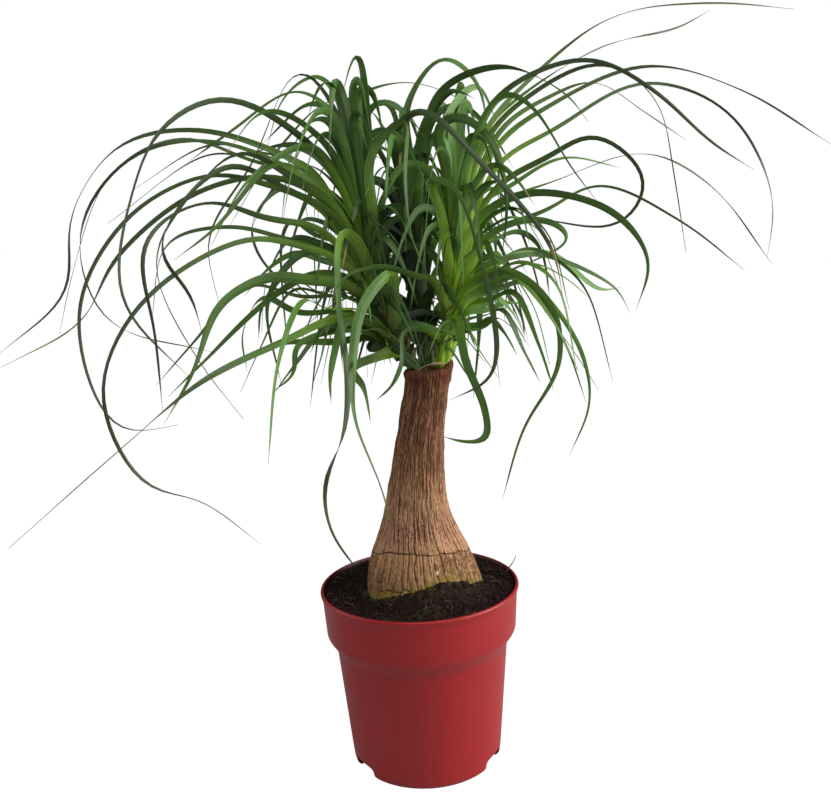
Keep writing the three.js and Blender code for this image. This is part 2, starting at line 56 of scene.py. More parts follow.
MM = 0.001
TURN = 2 * math.pi
GOLDEN = (math.sqrt(5) - 1) / 2

# ---- pot, in millimetres, like all sizes down to the stage ---------------------------------------------
POT_HEIGHT, RIM_RADIUS, WALL, FLOOR_TOP = 175, 95, 1.8, 8
# Radius and height of the pot's corners, from the middle of its underside round to the inside.
POT_CORNERS = np.array([
    (0, 0), (24, 0), (27, 6), (62, 6), (64, 0), (68.6, 0), (72, 4), (73.2, 15), (82.4, 118.6),
    (91, 131.6), (93.3, 168), (RIM_RADIUS, 171.8), (RIM_RADIUS, 173.6), (94, POT_HEIGHT),
    (92.4, POT_HEIGHT), (91.2, 170.5), (89.2, 132), (79.6, 119), (71.4, 15), (70.4, FLOOR_TOP),
    (25, FLOOR_TOP), (22, 2), (0, 2),
], float)
# How far down its two edges each of those corners is rounded.
POT_ROUNDING = np.array([
    0, 0.8, 0.8, 0.6, 0.6, 0.8, 2.0, 3.0, 6.0, 2.2, 2.4, 1.6, 0.9, 0.8, 0.6, 2.0,
    5.0, 5.0, 3.0, 0.6, 0.8, 0.8, 0,
])
NOTCH_ANGLES, NOTCH_HALF_WIDTH, NOTCH_HEIGHT = (-28, 92, 212), 16, 12
DRAIN_HOLES, DRAIN_HOLE_RADIUS, DRAIN_HOLE_CIRCLE = 6, 4, 44
# Angle in degrees from which an edge left by a cutter stays sharp.
SHARP_CUT = 38
# The soil stain inside the rim, dark enough to stand as painted shade there too: how far it is in from
# the rim's radius, and the heights between which it begins.
STAIN_AND_SHADE_INSET, STAIN_AND_SHADE_HEIGHTS = (2.2, 2.8), (160, 166)

# ---- trunk ---------------------------------------------------------------------------------------------
TRUNK_FOOT, TRUNK_TOP = 116, 383
# Height, radius and centre x of the trunk's sections.
TRUNK_ROWS = np.array([
    (TRUNK_FOOT, 20, 6), (124, 36, 6), (140, 49, 6), (157, 55, 5), (172, 56, 4.5), (187, 53, 3.5),
    (205, 47.5, 2.7), (220, 41, 2.2), (236, 34.5, 1.4), (257, 29.3, 1.7), (285, 25.9, 3.5),
    (315, 23, 7), (349, 21, 12.7), (366, 20.4, 16), (373, 21.6, 17), (381, 22, 18), (TRUNK_TOP, 20, 18),
], float)
# Stretches of the trunk's side: from which height to which, and how far apart the rings are. They are
# closest across the ring crack.
RING_STRETCHES = ((158, 206, 1.2), (206, 222, 0.5), (222, 366, 1.4), (366, 381, 1.0))
# Radii of the rings that close the cut top, as shares of its edge.
TOP_RINGS = np.array([0.93, 0.8, 0.66, 0.52, 0.38, 0.24, 0.1])
RING_CRACK_HEIGHT, RING_CRACK_RISE = 208, 9.5
RIDGES_AROUND, FINE_RIDGES_AROUND = 44, 116
# The crazed band of bark above the ring crack: its middle and half its height.
CRAZED_HEIGHT, CRAZED_REACH = 236, 14
# The knob at the right of the cut top: its height, and its place and width as shares of a turn.
KNOB_HEIGHT, KNOB_PLACE, KNOB_WIDTH = 9, 0.97, 0.06
# The pale fleck on the trunk's front: its x, height and radius.
FLECK_X, FLECK_HEIGHT, FLECK_RADIUS = 17, 201, 1.7

# ---- soil ----------------------------------------------------------------------------------------------
SOIL_EDGE_HEIGHT, SOIL_EDGE_RADIUS, SOIL_RISE = 170, 90.6, 2
# Radius and height of the soil's rings in the pot, from its underside upwards.
SOIL_SIDE = ((40, 8.4), (69.5, 8.4), (71, 15), (79.2, 118), (89, 134), (90.4, 158))
# Height of the rings of the pit that the trunk stands in, and how far inside the trunk's skin each lies.
PIT_RINGS = ((160, 1.6), (140, 1.6), (124, 1.6), (115.6, 2))
# Radius and centre x of the trunk where it leaves the soil.
SWELL_RADIUS, SWELL_X = 53, 3.5
# The mix heaped against the trunk: its direction and height, and how far it reaches out and around.
MOUND_TURN, MOUND_HEIGHT, MOUND_OUTWARDS, MOUND_AROUND = math.radians(-72), 20, 18, 46
# Radii of the ring on which crumbs and fibres are scattered, and how far out a fibre may reach.
SCATTER_RADII, FIBRE_REACH = (58, 88), 88.5
# Middle line of the straw that leans on the pot's rim.
STRAW = ((84, 24, 168), (88, 22, 176), (93, 21, 183), (96, 20, 190))

# ---- leaves --------------------------------------------------------------------------------------------
# Gap between two solids, first number of the leaves' sequence, width of a tip, distance of a leaf's root
# from the middle of the stem, and how much of the way to the viewer a measured leaf turns its face.
GAP, LEAF_SEED, TIP_WIDTH, ROOT_OFFSET, FACING = 0.35, 64738, 1.2, 3, 0.7
# Distance between the points that are tested, how far leaves of two shoots and of one stay apart, and the
# length at the foot of a leaf that isn't tested against its own shoot.
SAMPLE_STEP, CLEARANCE, OWN_CLEARANCE, CROWDED = 5, 8, 5, 45
# Where a leaf roots: the least share of the stem's length, what the height of its first point and its
# rank add to that, and the first points' heights for the lowest and the highest root.
ROOT_SHARE, ROOT_HEIGHTS = {"least": 0.06, "height": 0.68, "rank": 0.22}, (400, 640)
# Where a leaf bends after it has left the stem, as shares of the way to its first point.
SHOULDER = {"out": 0.42, "up": 0.7, "lift": 0.1}
# Most that a leaf rolls to either side if its points are given and if they are drawn, that it twists by
# its tip, and that a drawn leaf swerves, in degrees.
GIVEN_ROLL, DRAWN_ROLL, TWIST, SWERVE = 35, 60, 70, 22
# Ranges for a drawn leaf: height of its crest, fall of its outer arc and of its tip below the crest, the
# tip's distance against the crest's, and its width. Leaves that grow away from the viewed side have more
# room, and young leaves reach less far.
DRAWN = {"crest": (445, 640), "fall": (15, 55), "drop": (20, 95), "spread": (1.6, 2.3), "width": (5, 9),
         "rear_room": 1.5, "young_reach": 0.65}
# How low the tip of a drawn leaf and of an inner leaf may hang, and the radius and height of the column
# round the trunk that drawn leaves keep out of.
LOWEST_TIP, LOWEST_INNER_TIP, COLUMN_RADIUS, COLUMN_HEIGHT = 330, 372, 112, 380
# Share of the way up a stem, and its radius there.
STEM_RADII = np.array([(0, 6.2), (0.12, 7.6), (0.35, 7.2), (0.65, 5.6), (0.9, 3.4), (1, 1.6)])
STEM_RINGS, STEM_COLUMNS = 40, 40
# Lengths between which a blade passes from the short kind to the long one, which is slimmer and duller.
LONG_LEAF = 250, 440
# Width against the given one, and the power by which a blade narrows, for the short and the long kind.
WIDENING, TAPER = (1.05, 0.92), (3.4, 2.5)
# How much slimmer a long blade and a short one become, and over which shares of their length.
LONG_SLIMMING, SHORT_SLIMMING = (0.4, 0.15, 0.5), (0.55, 0.68, 0.84)
# How much wider a blade's foot is, and over which share of its length.
FOOT_SWELL = 1.25, 0.12
# Gutter of a blade: its least depth, and what the clasp, chance and the tip add, against half its width.
GUTTER = 0.05, 0.5, 0.12, 0.2
# Share of its length over which a leaf takes its full roll, and length of its slow waves.
ROLLED_BY, WAVE_LENGTH = 0.4, 48
# Points across one face of a blade, the length over which its foot clasps the stem, and the angle in
# degrees from which its edges are sharp.
BLADE_POINTS, CLASP_LENGTH, SHARP_BLADE = 7, 14, 60

# The three shoots. foot and path: the stem from the cut trunk to its growing point. leaves: width, then
# the points that the midrib arches through. sector: middle and half width in degrees of the directions
# in which the drawn leaves grow.
SHOOTS = {
    "shoot_left": {
        "foot": (6, -4),
        "path": [(-11, -6, 410), (-30, -4, 450), (-42, 0, 500)],
        "sector": (180, 85),
        "reach": (30, 115),
        "drawn": 17,
        "leaves": [
            (8, (-85, -25, 595), (-140, -45, 625), (-190, -70, 600), (-215, -80, 550), (-230, -90, 465),
             (-185, -70, 395)),
            (7, (-125, 0, 590), (-175, 0, 605), (-245, 0, 595), (-295, 0, 535), (-305, 0, 470),
             (-375, 0, 415)),
            (6, (-100, 20, 570), (-175, 50, 600), (-260, 80, 590), (-325, 105, 520), (-305, 95, 435),
             (-185, 50, 400)),
            (5, (-140, 70, 580), (-215, 120, 610), (-315, 190, 580), (-385, 245, 475), (-415, 265, 405)),
            (11, (-95, -45, 560), (-125, -70, 580), (-170, -110, 535), (-190, -130, 495),
             (-170, -110, 420), (-140, -85, 360)),
            (8, (-100, -35, 550), (-140, -55, 570), (-195, -90, 505), (-175, -80, 465), (-170, -75, 430)),
            (7, (-120, -20, 555), (-155, -30, 565), (-225, -50, 535), (-275, -65, 455), (-255, -55, 350),
             (-205, -45, 350)),
            (8, (-105, -10, 560), (-175, -25, 550), (-250, -35, 495), (-280, -40, 445), (-350, -55, 410)),
            (7, (-115, -55, 525), (-155, -80, 540), (-200, -115, 510), (-200, -110, 435),
             (-200, -110, 375)),
            (6, (-105, 30, 505), (-165, 60, 520), (-235, 90, 505), (-260, 105, 430)),
            (7, (-90, -30, 500), (-125, -50, 510), (-210, -95, 465), (-245, -120, 395),
             (-220, -105, 310), (-185, -82, 293), (-140, -55, 240)),
            (5, (-135, 95, 590), (-195, 155, 605), (-310, 270, 570)),
            (5, (-125, 50, 575), (-180, 80, 590), (-310, 155, 530)),
            (10, (-50, -5, 610), (-80, -15, 650), (-125, -30, 570), (-165, -45, 510), (-160, -45, 455)),
            (6, (-50, 5, 625), (-70, 35, 650), (-110, 85, 635), (-130, 110, 595)),
            (7, (-50, 0, 605), (-85, 10, 635), (-150, 30, 605), (-195, 40, 580)),
            (7, (-50, 10, 610), (-75, 20, 625), (-125, 50, 595)),
            (9, (-65, -25, 590), (-105, -65, 610), (-135, -95, 575)),
            (8, (-75, 10, 580), (-100, 20, 590), (-135, 35, 585)),
            (8, (-60, -15, 570), (-75, -25, 585), (-125, -60, 555), (-155, -80, 505)),
            (7, (-95, 45, 545), (-110, 60, 555), (-150, 95, 520), (-140, 85, 485), (-90, 45, 445)),
            (7, (-85, -15, 495), (-120, -30, 455), (-115, -25, 380)),
            (10, (-85, -25, 470), (-115, -40, 475), (-155, -65, 455), (-180, -80, 400), (-205, -95, 360)),
            (7, (-75, -5, 475), (-120, -5, 455), (-185, -15, 400), (-220, -15, 370)),
            (11, (-60, -10, 435), (-105, -45, 420), (-170, -90, 395), (-230, -135, 350),
             (-305, -185, 290)),
            (7, (-105, 110, 520), (-115, 115, 470), (-85, 70, 440)),
            (8, (-70, 15, 425), (-110, 40, 385), (-135, 55, 355)),
            (7, (-65, 10, 410), (-110, 25, 410), (-150, 40, 400)),
            (7, (-75, -5, 420), (-100, -10, 410), (-105, -10, 385), (-125, -15, 370)),
            (7, (-55, -25, 430), (-65, -25, 405), (-70, -35, 380), (-70, -35, 360)),
            (11, (-50, -40, 515), (-55, -75, 455), (-50, -90, 400), (-55, -95, 345), (-75, -95, 305),
             (-75, -85, 265), (-55, -12, 190)),
            (11, (-10, -60, 475), (-35, -85, 450), (-45, -100, 400), (-45, -105, 360), (-25, -105, 295),
             (-20, -95, 255)),
            (8, (-50, -30, 390), (-40, -45, 375), (-35, -55, 345)),
            (9, (-25, -10, 590), (-30, -20, 660), (-45, -20, 625)),
            (10, (-25, -25, 570), (10, -60, 600), (5, -80, 555), (10, -90, 495), (35, -85, 445)),
        ],
    },
    "shoot_right": {
        "foot": (30, -3),
        "path": [(39, -2, 415), (45, 0, 455), (54, 2, 495)],
        "sector": (0, 85),
        "reach": (22, 72),
        "drawn": 25,
        "leaves": [
            (6, (120, 35, 635), (205, 75, 695), (315, 130, 715), (420, 180, 715)),
            (5, (115, 65, 625), (210, 140, 680), (310, 225, 710), (360, 270, 735)),
            (7, (90, -10, 620), (165, -20, 645), (220, -30, 615), (265, -40, 570), (300, -45, 545)),
            (6, (105, -30, 610), (170, -60, 635), (210, -80, 600), (220, -85, 550), (230, -90, 480)),
            (6, (135, 0, 610), (220, 0, 640), (305, 0, 615), (385, 0, 565)),
            (6, (145, 60, 625), (195, 90, 640), (245, 120, 615), (300, 150, 585)),
            (5, (140, 15, 590), (225, 30, 630), (310, 45, 600), (355, 55, 520), (350, 55, 465)),
            (6, (130, -30, 565), (165, -45, 580), (205, -60, 540), (185, -50, 505), (110, -25, 515)),
            (6, (105, 45, 545), (160, 85, 570), (225, 125, 560)),
            (5, (140, 35, 545), (240, 75, 570), (310, 95, 535), (380, 120, 455)),
            (6, (130, -10, 520), (175, -10, 540), (245, -20, 505), (300, -25, 460)),
            (8, (90, -30, 530), (120, -45, 535), (175, -75, 515), (200, -90, 475), (190, -85, 435)),
            (7, (90, -60, 615), (110, -80, 600), (135, -110, 550), (150, -130, 525)),
            (6, (95, -20, 510), (130, -30, 510), (145, -35, 495), (100, -20, 470)),
            (5, (105, 15, 480), (130, 25, 480), (200, 40, 445), (215, 45, 420)),
            (6, (140, 55, 480), (195, 90, 440), (220, 105, 440)),
            (7, (80, -25, 470), (95, -40, 470), (125, -60, 440), (130, -60, 390), (100, -40, 330),
             (80, -25, 260)),
            (5, (85, -5, 465), (110, -5, 460), (155, -10, 400), (165, -10, 345), (145, -10, 295)),
            (5, (100, 20, 460), (150, 40, 400), (185, 50, 345)),
            (6, (75, 35, 430), (100, 50, 435), (120, 60, 430)),
            (8, (45, 10, 605), (75, 35, 635), (95, 65, 605)),
            (9, (35, 0, 595), (50, -5, 605), (80, -40, 580), (90, -50, 530), (85, -40, 480)),
            (9, (25, -40, 550), (45, -55, 545), (65, -75, 480), (75, -85, 410), (70, -80, 385),
             (35, -45, 360)),
            (9, (45, -28, 430), (50, -40, 395), (65, -50, 350), (65, -50, 325), (45, -45, 322),
             (25, -42, 328)),
            (8, (10, -48, 470), (-20, -68, 480), (-50, -84, 472), (-62, -90, 450)),
            (7, (-2, -32, 420), (-5, -42, 395), (-15, -42, 375), (-30, -40, 362)),
        ],
    },
    "shoot_back": {
        "foot": (18, 11),
        "path": [(15, 24, 415), (11, 34, 450), (8, 42, 490)],
        "sector": (90, 75),
        "reach": (30, 110),
        "drawn": 22,
        "leaves": [
            (9, (10, 30, 620), (45, 25, 660), (75, 20, 635), (82, 20, 595)),
            (5, (-45, -5, 615), (5, 25, 640), (65, 65, 625), (85, 80, 605)),
            (8, (40, 10, 628), (95, -20, 642), (148, -33, 612), (162, -36, 592)),
            (10, (-5, 12, 590), (22, -22, 610), (70, -58, 560), (120, -98, 490), (128, -98, 450)),
            (9, (25, 30, 600), (50, 20, 630), (70, 5, 620)),
        ],
    },
}
# Looks of each shoot: its slot, how lime the feet of its leaves and how light its blades are, its seed,
# where on a leaf's colours its stem begins, how dry its old leaf bases are, and how full its heart is.
# The lime, the lightness and the stem's start are partly painted light and shade: the right shoot,
# towards the key light, is limer and lighter, and the left and back shoots are darker.
SHOOT_LOOKS = {
    "shoot_left": {"slot": "leaf_left", "lime": 0.5, "light": 0.3, "seed": 11, "stem_share": 0.45,
                   "stub_dryness": 0.35, "fullness": 1.0},
    "shoot_right": {"slot": "leaf_right", "lime": 0.8, "light": 0.6, "seed": 12, "stem_share": 0.04,
                    "stub_dryness": 0.15, "fullness": 0.75},
    "shoot_back": {"slot": "leaf_back", "lime": 0.15, "light": -0.1, "seed": 13, "stem_share": 0.5,
                   "stub_dryness": 0.2, "fullness": 1.0},
}
# What is added to a shoot's seed for its inner leaves, its old leaf bases and the blades of those.
INNER_SEED, STUB_SEED, STUB_BLADE_SEED = 10, 20, 30
# Young and short leaves that fill the heart of a shoot, within the reach of those above: how many, then
# the ranges of the crest's height, the reach, the width and the fall from the crest to the tip.
INNER_LEAVES = (
    (19, (500, 640), (16, 54), (3.5, 10), (15, 100)),
    (20, (430, 560), (24, 68), (3.5, 10), (20, 90)),
    (8, (404, 452), (22, 58), (4, 9), (5, 34)),
)
# Remains of old leaves round the foot of a stem: how many, the range of their sizes, and their sections.
STUBS, STUB_SIZES, STUB_STATIONS = 22, (14, 30), 14
# Midrib of the dry, papery remnant in front of the cut.
PAPERY_REMNANT = np.array([(29, -8, 385), (24, -19, 389), (17, -22.5, 389), (8, -23.5, 384.5)], float)

# The heart of the crown, where painted shade darkens the blades most, in object coordinates stretched
# by CROWN_SCALE.
CROWN_SCALE, CROWN_HEART = (17.0, 17.0, 9.0), (-0.255, 0.42, 4.05)

# ---- stage, in metres ----------------------------------------------------------------------------------
# Each square soft light: its place, its size and the setting that holds its power. All face LIT_POINT.
LIGHTS = {
    "key_light": ((2.3, -0.5, 0.95), 1.9, "key_power"),
    "fill_light": ((-2.1, 0.1, 1.0), 1.6, "fill_power"),
    "top_light": ((0.3, -1.3, 2.3), 1.1, "top_power"),
}
LIT_POINT = (0, 0, 0.35)
# The camera's right, up and back axes: slightly above the crown's middle and tipped down.
CAMERA_AXES = (
    (0.99877, -0.009055, -0.048713), (0.049547, 0.182526, 0.981953), (0, -0.98316, 0.18275))
CAMERA_PLACE = (0.005, -0.867, 0.5145)
# Radius of the floor's smallest ring, the factor from ring to ring, and how many there are.
FLOOR_RADIUS, FLOOR_GROWTH, FLOOR_RINGS = 0.05, 1.5, 18


# ---- colours, from 0..255 screen values ----------------------------------------------------------------
def paint(red, green, blue):
    """A colour given as 0..255 screen values, as the linear colour that a shader takes."""
    screen = np.array([red, green, blue]) / 255
    linear = np.where(screen <= 0.04045, screen / 12.92, ((screen + 0.055) / 1.055) ** 2.4)
    return (*linear.tolist(), 1.0)


# Pairs hold the dark and the light colour of a pattern.
PLATES, UPPER_BARK = (paint(146, 106, 73), paint(194, 152, 108)), (paint(72, 42, 20), paint(104, 67, 37))
# SHADED_BARK is the dark bark of low tones, which also paints shade on both sides of the base.
ROSY_BARK, SHADED_BARK, WORN_BARK = paint(180, 126, 108), paint(92, 58, 36), paint(200, 150, 106)
DULL_BARK, CORK, FISSURE, FLECK = (
    paint(78, 48, 30), paint(104, 56, 30), paint(72, 44, 29), paint(232, 222, 200))
MOSS = paint(96, 88, 24), paint(158, 138, 54)
# The first of these darkens the inside of the rim: a soil stain that is also painted shade there.
SOIL_STAIN_AND_SHADE, SOIL_FLECK, RUSTY_MIX, SOIL_MOSS = (
    paint(40, 24, 20), paint(98, 72, 60), paint(76, 48, 36), paint(72, 80, 22))
DRY_FIBRE = paint(60, 44, 32), paint(136, 112, 84)
# Bluish greens, from dark to light by a blade's tone: partly the blades' colour, partly painted sheen.
GREENS_AND_PAINTED_SHEEN = paint(30, 54, 20), paint(92, 136, 68)
VEIN, PALE_FOOT, MIDRIB, UNDERSIDE = (
    paint(26, 50, 12), paint(196, 196, 128), paint(116, 148, 66), paint(66, 96, 44))
OUTER_LEAF, WITHERED, DEEP_SHADE = paint(58, 68, 44), paint(172, 152, 104), paint(10, 24, 6)
# Linear colours of the stage.
FLOOR_GREYS, WHITE = ((0.52, 0.52, 0.52, 1), (0.56, 0.56, 0.56, 1)), (1, 1, 1, 1)


# ---- small numerical tools -----------------------------------------------------------------------------
LATTICE = 64  # cells up a pattern, and across it where it lies on the ground, before it repeats


def blend_in(low, high, value):
    """0 below low, 1 above high, and a smooth S between them."""
    share = np.clip((np.asarray(value, float) - low) / (high - low), 0, 1)
    return share * share * (3 - 2 * share)


def bell(distance, width):
    """A bell curve: 1 at no distance, 1/e at the width and nearly 0 at twice that."""
    return np.exp(-((distance / width) ** 2))


def between(low, high, share):
    return low + (high - low) * share


def value_noise(u, v, across, seed):
    """Values 0..1 drawn for the corners of a lattice and smoothly blended between them.

    u in 0..1 wraps round over `across` cells, and v runs in cells."""
    table = np.random.default_rng(seed).random((across, LATTICE))
    i, j = np.floor(u * across).astype(int), np.floor(v).astype(int)
    fu, fv = blend_in(0, 1, u * across - i), blend_in(0, 1, v - j)
    here, after, row, above = i % across, (i + 1) % across, j % LATTICE, (j + 1) % LATTICE
    low = table[here, row] * (1 - fu) + table[after, row] * fu
    high = table[here, above] * (1 - fu) + table[after, above] * fu
    return low * (1 - fv) + high * fv


def plates(u, v, across, seed):
    """Cells round points that are scattered one to a square of a lattice, in units of that square.

    Returns the distance to the nearest point, and how much further the second nearest is, which is 0
    on the crack between two cells."""
    offset = 0.5 + 0.8 * (np.random.default_rng(seed).random((across, LATTICE, 2)) - 0.5)
    x, y = u * across, v
    i, j = np.floor(x).astype(int), np.floor(y).astype(int)
    first, second = np.full(x.shape, 9.0), np.full(x.shape, 9.0)
    for di in (-1, 0, 1):
        for dj in (-1, 0, 1):
            spot = offset[(i + di) % across, (j + dj) % LATTICE]
            away = np.hypot(i + di + spot[..., 0] - x, j + dj + spot[..., 1] - y)
            second = np.minimum(second, np.maximum(first, away))
            first = np.minimum(first, away)
    return first, second - first


def on_ground(pattern, x, y, size, seed):
    """value_noise or plates over the ground, with cells of `size` millimetres."""
    return pattern(x / (size * LATTICE) % 1, y / size, LATTICE, seed)


def through(knots, values, at):
    """A smooth curve through the values: cubic pieces whose slopes are the mean slopes at each knot."""
    slopes = np.gradient(values, knots)
    k = np.clip(np.searchsorted(knots, at, side="right") - 1, 0, len(knots) - 2)
    span = knots[k + 1] - knots[k]
    t = np.clip((at - knots[k]) / span, 0, 1)
    return (
        (2 * t**3 - 3 * t**2 + 1) * values[k]
        + (t**3 - 2 * t**2 + t) * span * slopes[k]
        + (3 * t**2 - 2 * t**3) * values[k + 1]
        + (t**3 - t**2) * span * slopes[k + 1]
    )


def unit(vectors):
    """The vectors at length 1."""
    return vectors / np.maximum(np.linalg.norm(vectors, axis=-1, keepdims=True), 1e-9)


def catmull_rom(points, t):
    """The centripetal Catmull-Rom curve through the points, at t from 0 at the first to 1 at the last.

    The neighbours that the two ends lack are the next points mirrored in the ends."""
    pts = np.asarray(points, float)
    pts = np.vstack([2 * pts[0] - pts[1], pts, 2 * pts[-1] - pts[-2]])
    spans = len(pts) - 3
    at = np.asarray(t, float) * spans
    k = np.minimum(np.floor(at).astype(int), spans - 1)
    w = (at - k)[:, None]
    p0, p1, p2, p3 = (pts[k + i] for i in range(4))
    d0, d1, d2 = (np.sqrt(np.linalg.norm(b - a, axis=1, keepdims=True))
                  for a, b in ((p0, p1), (p1, p2), (p2, p3)))
    m1 = ((p1 - p0) / d0 - (p2 - p0) / (d0 + d1) + (p2 - p1) / d1) * d1
    m2 = ((p2 - p1) / d1 - (p3 - p1) / (d1 + d2) + (p3 - p2) / d2) * d1
    return p1 + m1 * w + (3 * (p2 - p1) - 2 * m1 - m2) * w**2 + (2 * (p1 - p2) + m1 + m2) * w**3


# ---- meshes --------------------------------------------------------------------------------------------
def grid_faces(rows, columns, first=0):
    """Four-sided faces of a grid that closes round its columns, facing out where the rings lead up."""
    i, j = np.meshgrid(np.arange(rows - 1), np.arange(columns), indexing="ij")
    a = first + i * columns + j
    b = first + i * columns + (j + 1) % columns
    return np.stack([a, b, b + columns, a + columns], axis=-1).reshape(-1, 4)


def fan_faces(ring, pole, outward=True):
    """Triangles from a ring of points to the point that closes it."""
    after = np.roll(ring, -1)
    ends = np.full(len(ring), pole)
    sides = (ring, after, ends) if outward else (after, ring, ends)
    return np.stack(sides, axis=-1)


def closed_rings(rings, low_pole, high_pole):
    """Rings of points that lead up, closed at both ends by a pole: the points and their faces."""
    rows, columns = rings.shape[:2]
    ring, count = np.arange(columns), rows * columns
    faces = [grid_faces(rows, columns), fan_faces(ring, count, False),
             fan_faces(ring + count - columns, count + 1)]
    return np.vstack([rings.reshape(-1, 3), [low_pole], [high_pole]]), faces


def section_faces(count, stations, sides):
    """Faces of `count` skins over `stations` rings of `sides` points each, with both ends closed."""
    grid = grid_faces(stations, sides)
    ends = np.arange(sides)
    foot = np.stack([np.zeros(sides - 2, int), ends[2:], ends[1:-1]], axis=-1)
    last = (stations - 1) * sides
    tip = np.stack([np.full(sides - 2, last), last + ends[1:-1], last + ends[2:]], axis=-1)
    shift = np.arange(count)[:, None, None] * stations * sides
    return [(part[None] + shift).reshape(-1, part.shape[1]) for part in (grid, foot, tip)]


def tubes(paths, radii, sides):
    """Round sections carried along many paths at once: points (paths, stations, sides) and their faces.

    The section stands square to the path, and starts from the side that is level with the ground."""
    ahead = unit(np.gradient(paths, axis=1))
    level = unit(np.cross(ahead, (0.02, 0.03, 1.0)))
    lifted = np.cross(level, ahead)
    angle = np.arange(sides) * TURN / sides
    ring = level[:, :, None] * np.cos(angle)[:, None] + lifted[:, :, None] * np.sin(angle)[:, None]
    points = paths[:, :, None] + ring * radii[:, :, None, None]
    return points, section_faces(*points.shape[:3])


def make_mesh(name, points, faces, marks=None, uv=None):
    """A smooth-shaded mesh from points in millimetres, lists of faces, values at its points and a UV."""
    mesh = bpy.data.meshes.new(name)
    mesh.from_pydata((points.reshape(-1, 3) * MM).tolist(), [], [f for part in faces for f in part.tolist()])
    for key, values in (marks or {}).items():
        layer = mesh.attributes.new(key, "FLOAT", "POINT")
        layer.data.foreach_set("value", np.ascontiguousarray(values, np.float32).ravel())
    if uv is not None:
        corners = np.zeros(len(mesh.loops), np.int32)
        mesh.loops.foreach_get("vertex_index", corners)
        layer = mesh.uv_layers.new(name="UVMap")
        layer.data.foreach_set("uv", uv.reshape(-1, 2)[corners].astype(np.float32).ravel())
    mesh.polygons.foreach_set("use_smooth", np.ones(len(mesh.polygons), bool))
    mesh.update()
    return mesh


def joined(parts):
    """Several skins as one: their points and faces and, where they have them, marks and UV."""
    points, faces, count = [], [], 0
    for part in parts:
        points.append(part[0].reshape(-1, 3))
        faces += [face + count for face in part[1]]
        count += len(points[-1])
    whole = [np.vstack(points), faces]
    if len(parts[0]) > 2:
        whole.append({key: np.concatenate([part[2][key].ravel() for part in parts]) for key in parts[0][2]})
        whole.append(np.vstack([part[3].reshape(-1, 2) for part in parts]))
    return whole


def add_object(name, data):
    """A new object in the scene, for a mesh, a lamp or a camera."""
    thing = bpy.data.objects.new(name, data)
    bpy.context.scene.collection.objects.link(thing)
    return thing


def finish_piece(mesh, material, replaces=None):
    """Puts the mesh into the scene as a finished piece that rides on the plant's one body."""
    piece = add_object(mesh.name, mesh)
    mesh.materials.append(material)
    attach(piece, "root")
    if replaces:
        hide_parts(replaces)


# ---- material tools ------------------------------------------------------------------------------------
def put(tree, kind, inputs=None, **settings):
    """Adds a node. An input is a value or another node's output."""
    node = tree.nodes.new(kind)
    for key, value in settings.items():
        setattr(node, key, value)
    for key, value in (inputs or {}).items():
        if isinstance(value, bpy.types.NodeSocket):
            tree.links.new(value, node.inputs[key])
        else:
            node.inputs[key].default_value = value
    return node


def layered(tree, colour, *layers):
    """The colour with others laid over it in turn, each given with its share."""
    for share, over in layers:
        mix = put(tree, "ShaderNodeMix", {0: share, 6: colour, 7: over}, data_type="RGBA")
        colour = mix.outputs[2]
    return colour


def maths(tree, operation, first, second=0.0, third=0.0, **settings):
    """What a maths node makes of up to three values."""
    inputs = {0: first, 1: second, 2: third}
    return put(tree, "ShaderNodeMath", inputs, operation=operation, **settings).outputs[0]


def spread(tree, value, low, high, to_low=0.0, to_high=1.0):
    """The value's range from low to high, stretched to another range and cut off outside it."""
    inputs = {"Value": value, "From Min": low, "From Max": high, "To Min": to_low, "To Max": to_high}
    return put(tree, "ShaderNodeMapRange", inputs, interpolation_type="SMOOTHSTEP").outputs[0]


def sharpened(tree, value, middle, contrast):
    """The value's range round its middle stretched by the contrast, and cut off at 0 and 1."""
    centred = maths(tree, "SUBTRACT", value, middle)
    return maths(tree, "MULTIPLY_ADD", centred, contrast, 0.5, use_clamp=True)


def noise(tree, vector, scale, detail, roughness=0.5):
    """Smooth noise, 0..1, with finer noise added `detail` times."""
    inputs = {"Vector": vector, "Scale": scale, "Detail": detail, "Roughness": roughness}
    return put(tree, "ShaderNodeTexNoise", inputs).outputs["Fac"]


def mark(tree, name):
    """The value that a mesh holds under this name at its points."""
    return put(tree, "ShaderNodeAttribute", attribute_name=name, attribute_type="GEOMETRY").outputs["Fac"]


def stretched(tree, vector, scale):
    return put(tree, "ShaderNodeMapping", {"Vector": vector, "Scale": scale}).outputs["Vector"]


def on_object(tree, scale=(1, 1, 1)):
    """Object coordinates, stretched."""
    return stretched(tree, put(tree, "ShaderNodeTexCoord").outputs["Object"], scale)


def component(tree, vector, axis):
    return put(tree, "ShaderNodeSeparateXYZ", {"Vector": vector}).outputs[axis]


def new_group(name, takes, gives):
    """An empty node group with named sockets, what it takes, and its end node."""
    kinds = {"Vector": "Vector", "First": "Color", "Second": "Color", "Colour": "Color"}
    group = bpy.data.node_groups.new(name, "ShaderNodeTree")
    for keys, way in ((takes, "INPUT"), (gives, "OUTPUT")):
        for key in keys:
            kind = f"NodeSocket{kinds.get(key, 'Float')}"
            group.interface.new_socket(key, in_out=way, socket_type=kind)
    return group, group.nodes.new("NodeGroupInput").outputs, group.nodes.new("NodeGroupOutput")


def mottling_group():
    """Two colours in cloudy patches: smooth noise, its middle range stretched by the contrast."""
    takes = ("Vector", "Scale", "Contrast", "First", "Second")
    group, given, end = new_group("Mottling", takes, ("Colour", "Mask"))
    cloud = noise(group, given["Vector"], given["Scale"], 4.0, 0.55)
    mask = sharpened(group, cloud, 0.5, given["Contrast"])
    group.links.new(layered(group, given["First"], (mask, given["Second"])), end.inputs["Colour"])
    group.links.new(mask, end.inputs["Mask"])
    return group


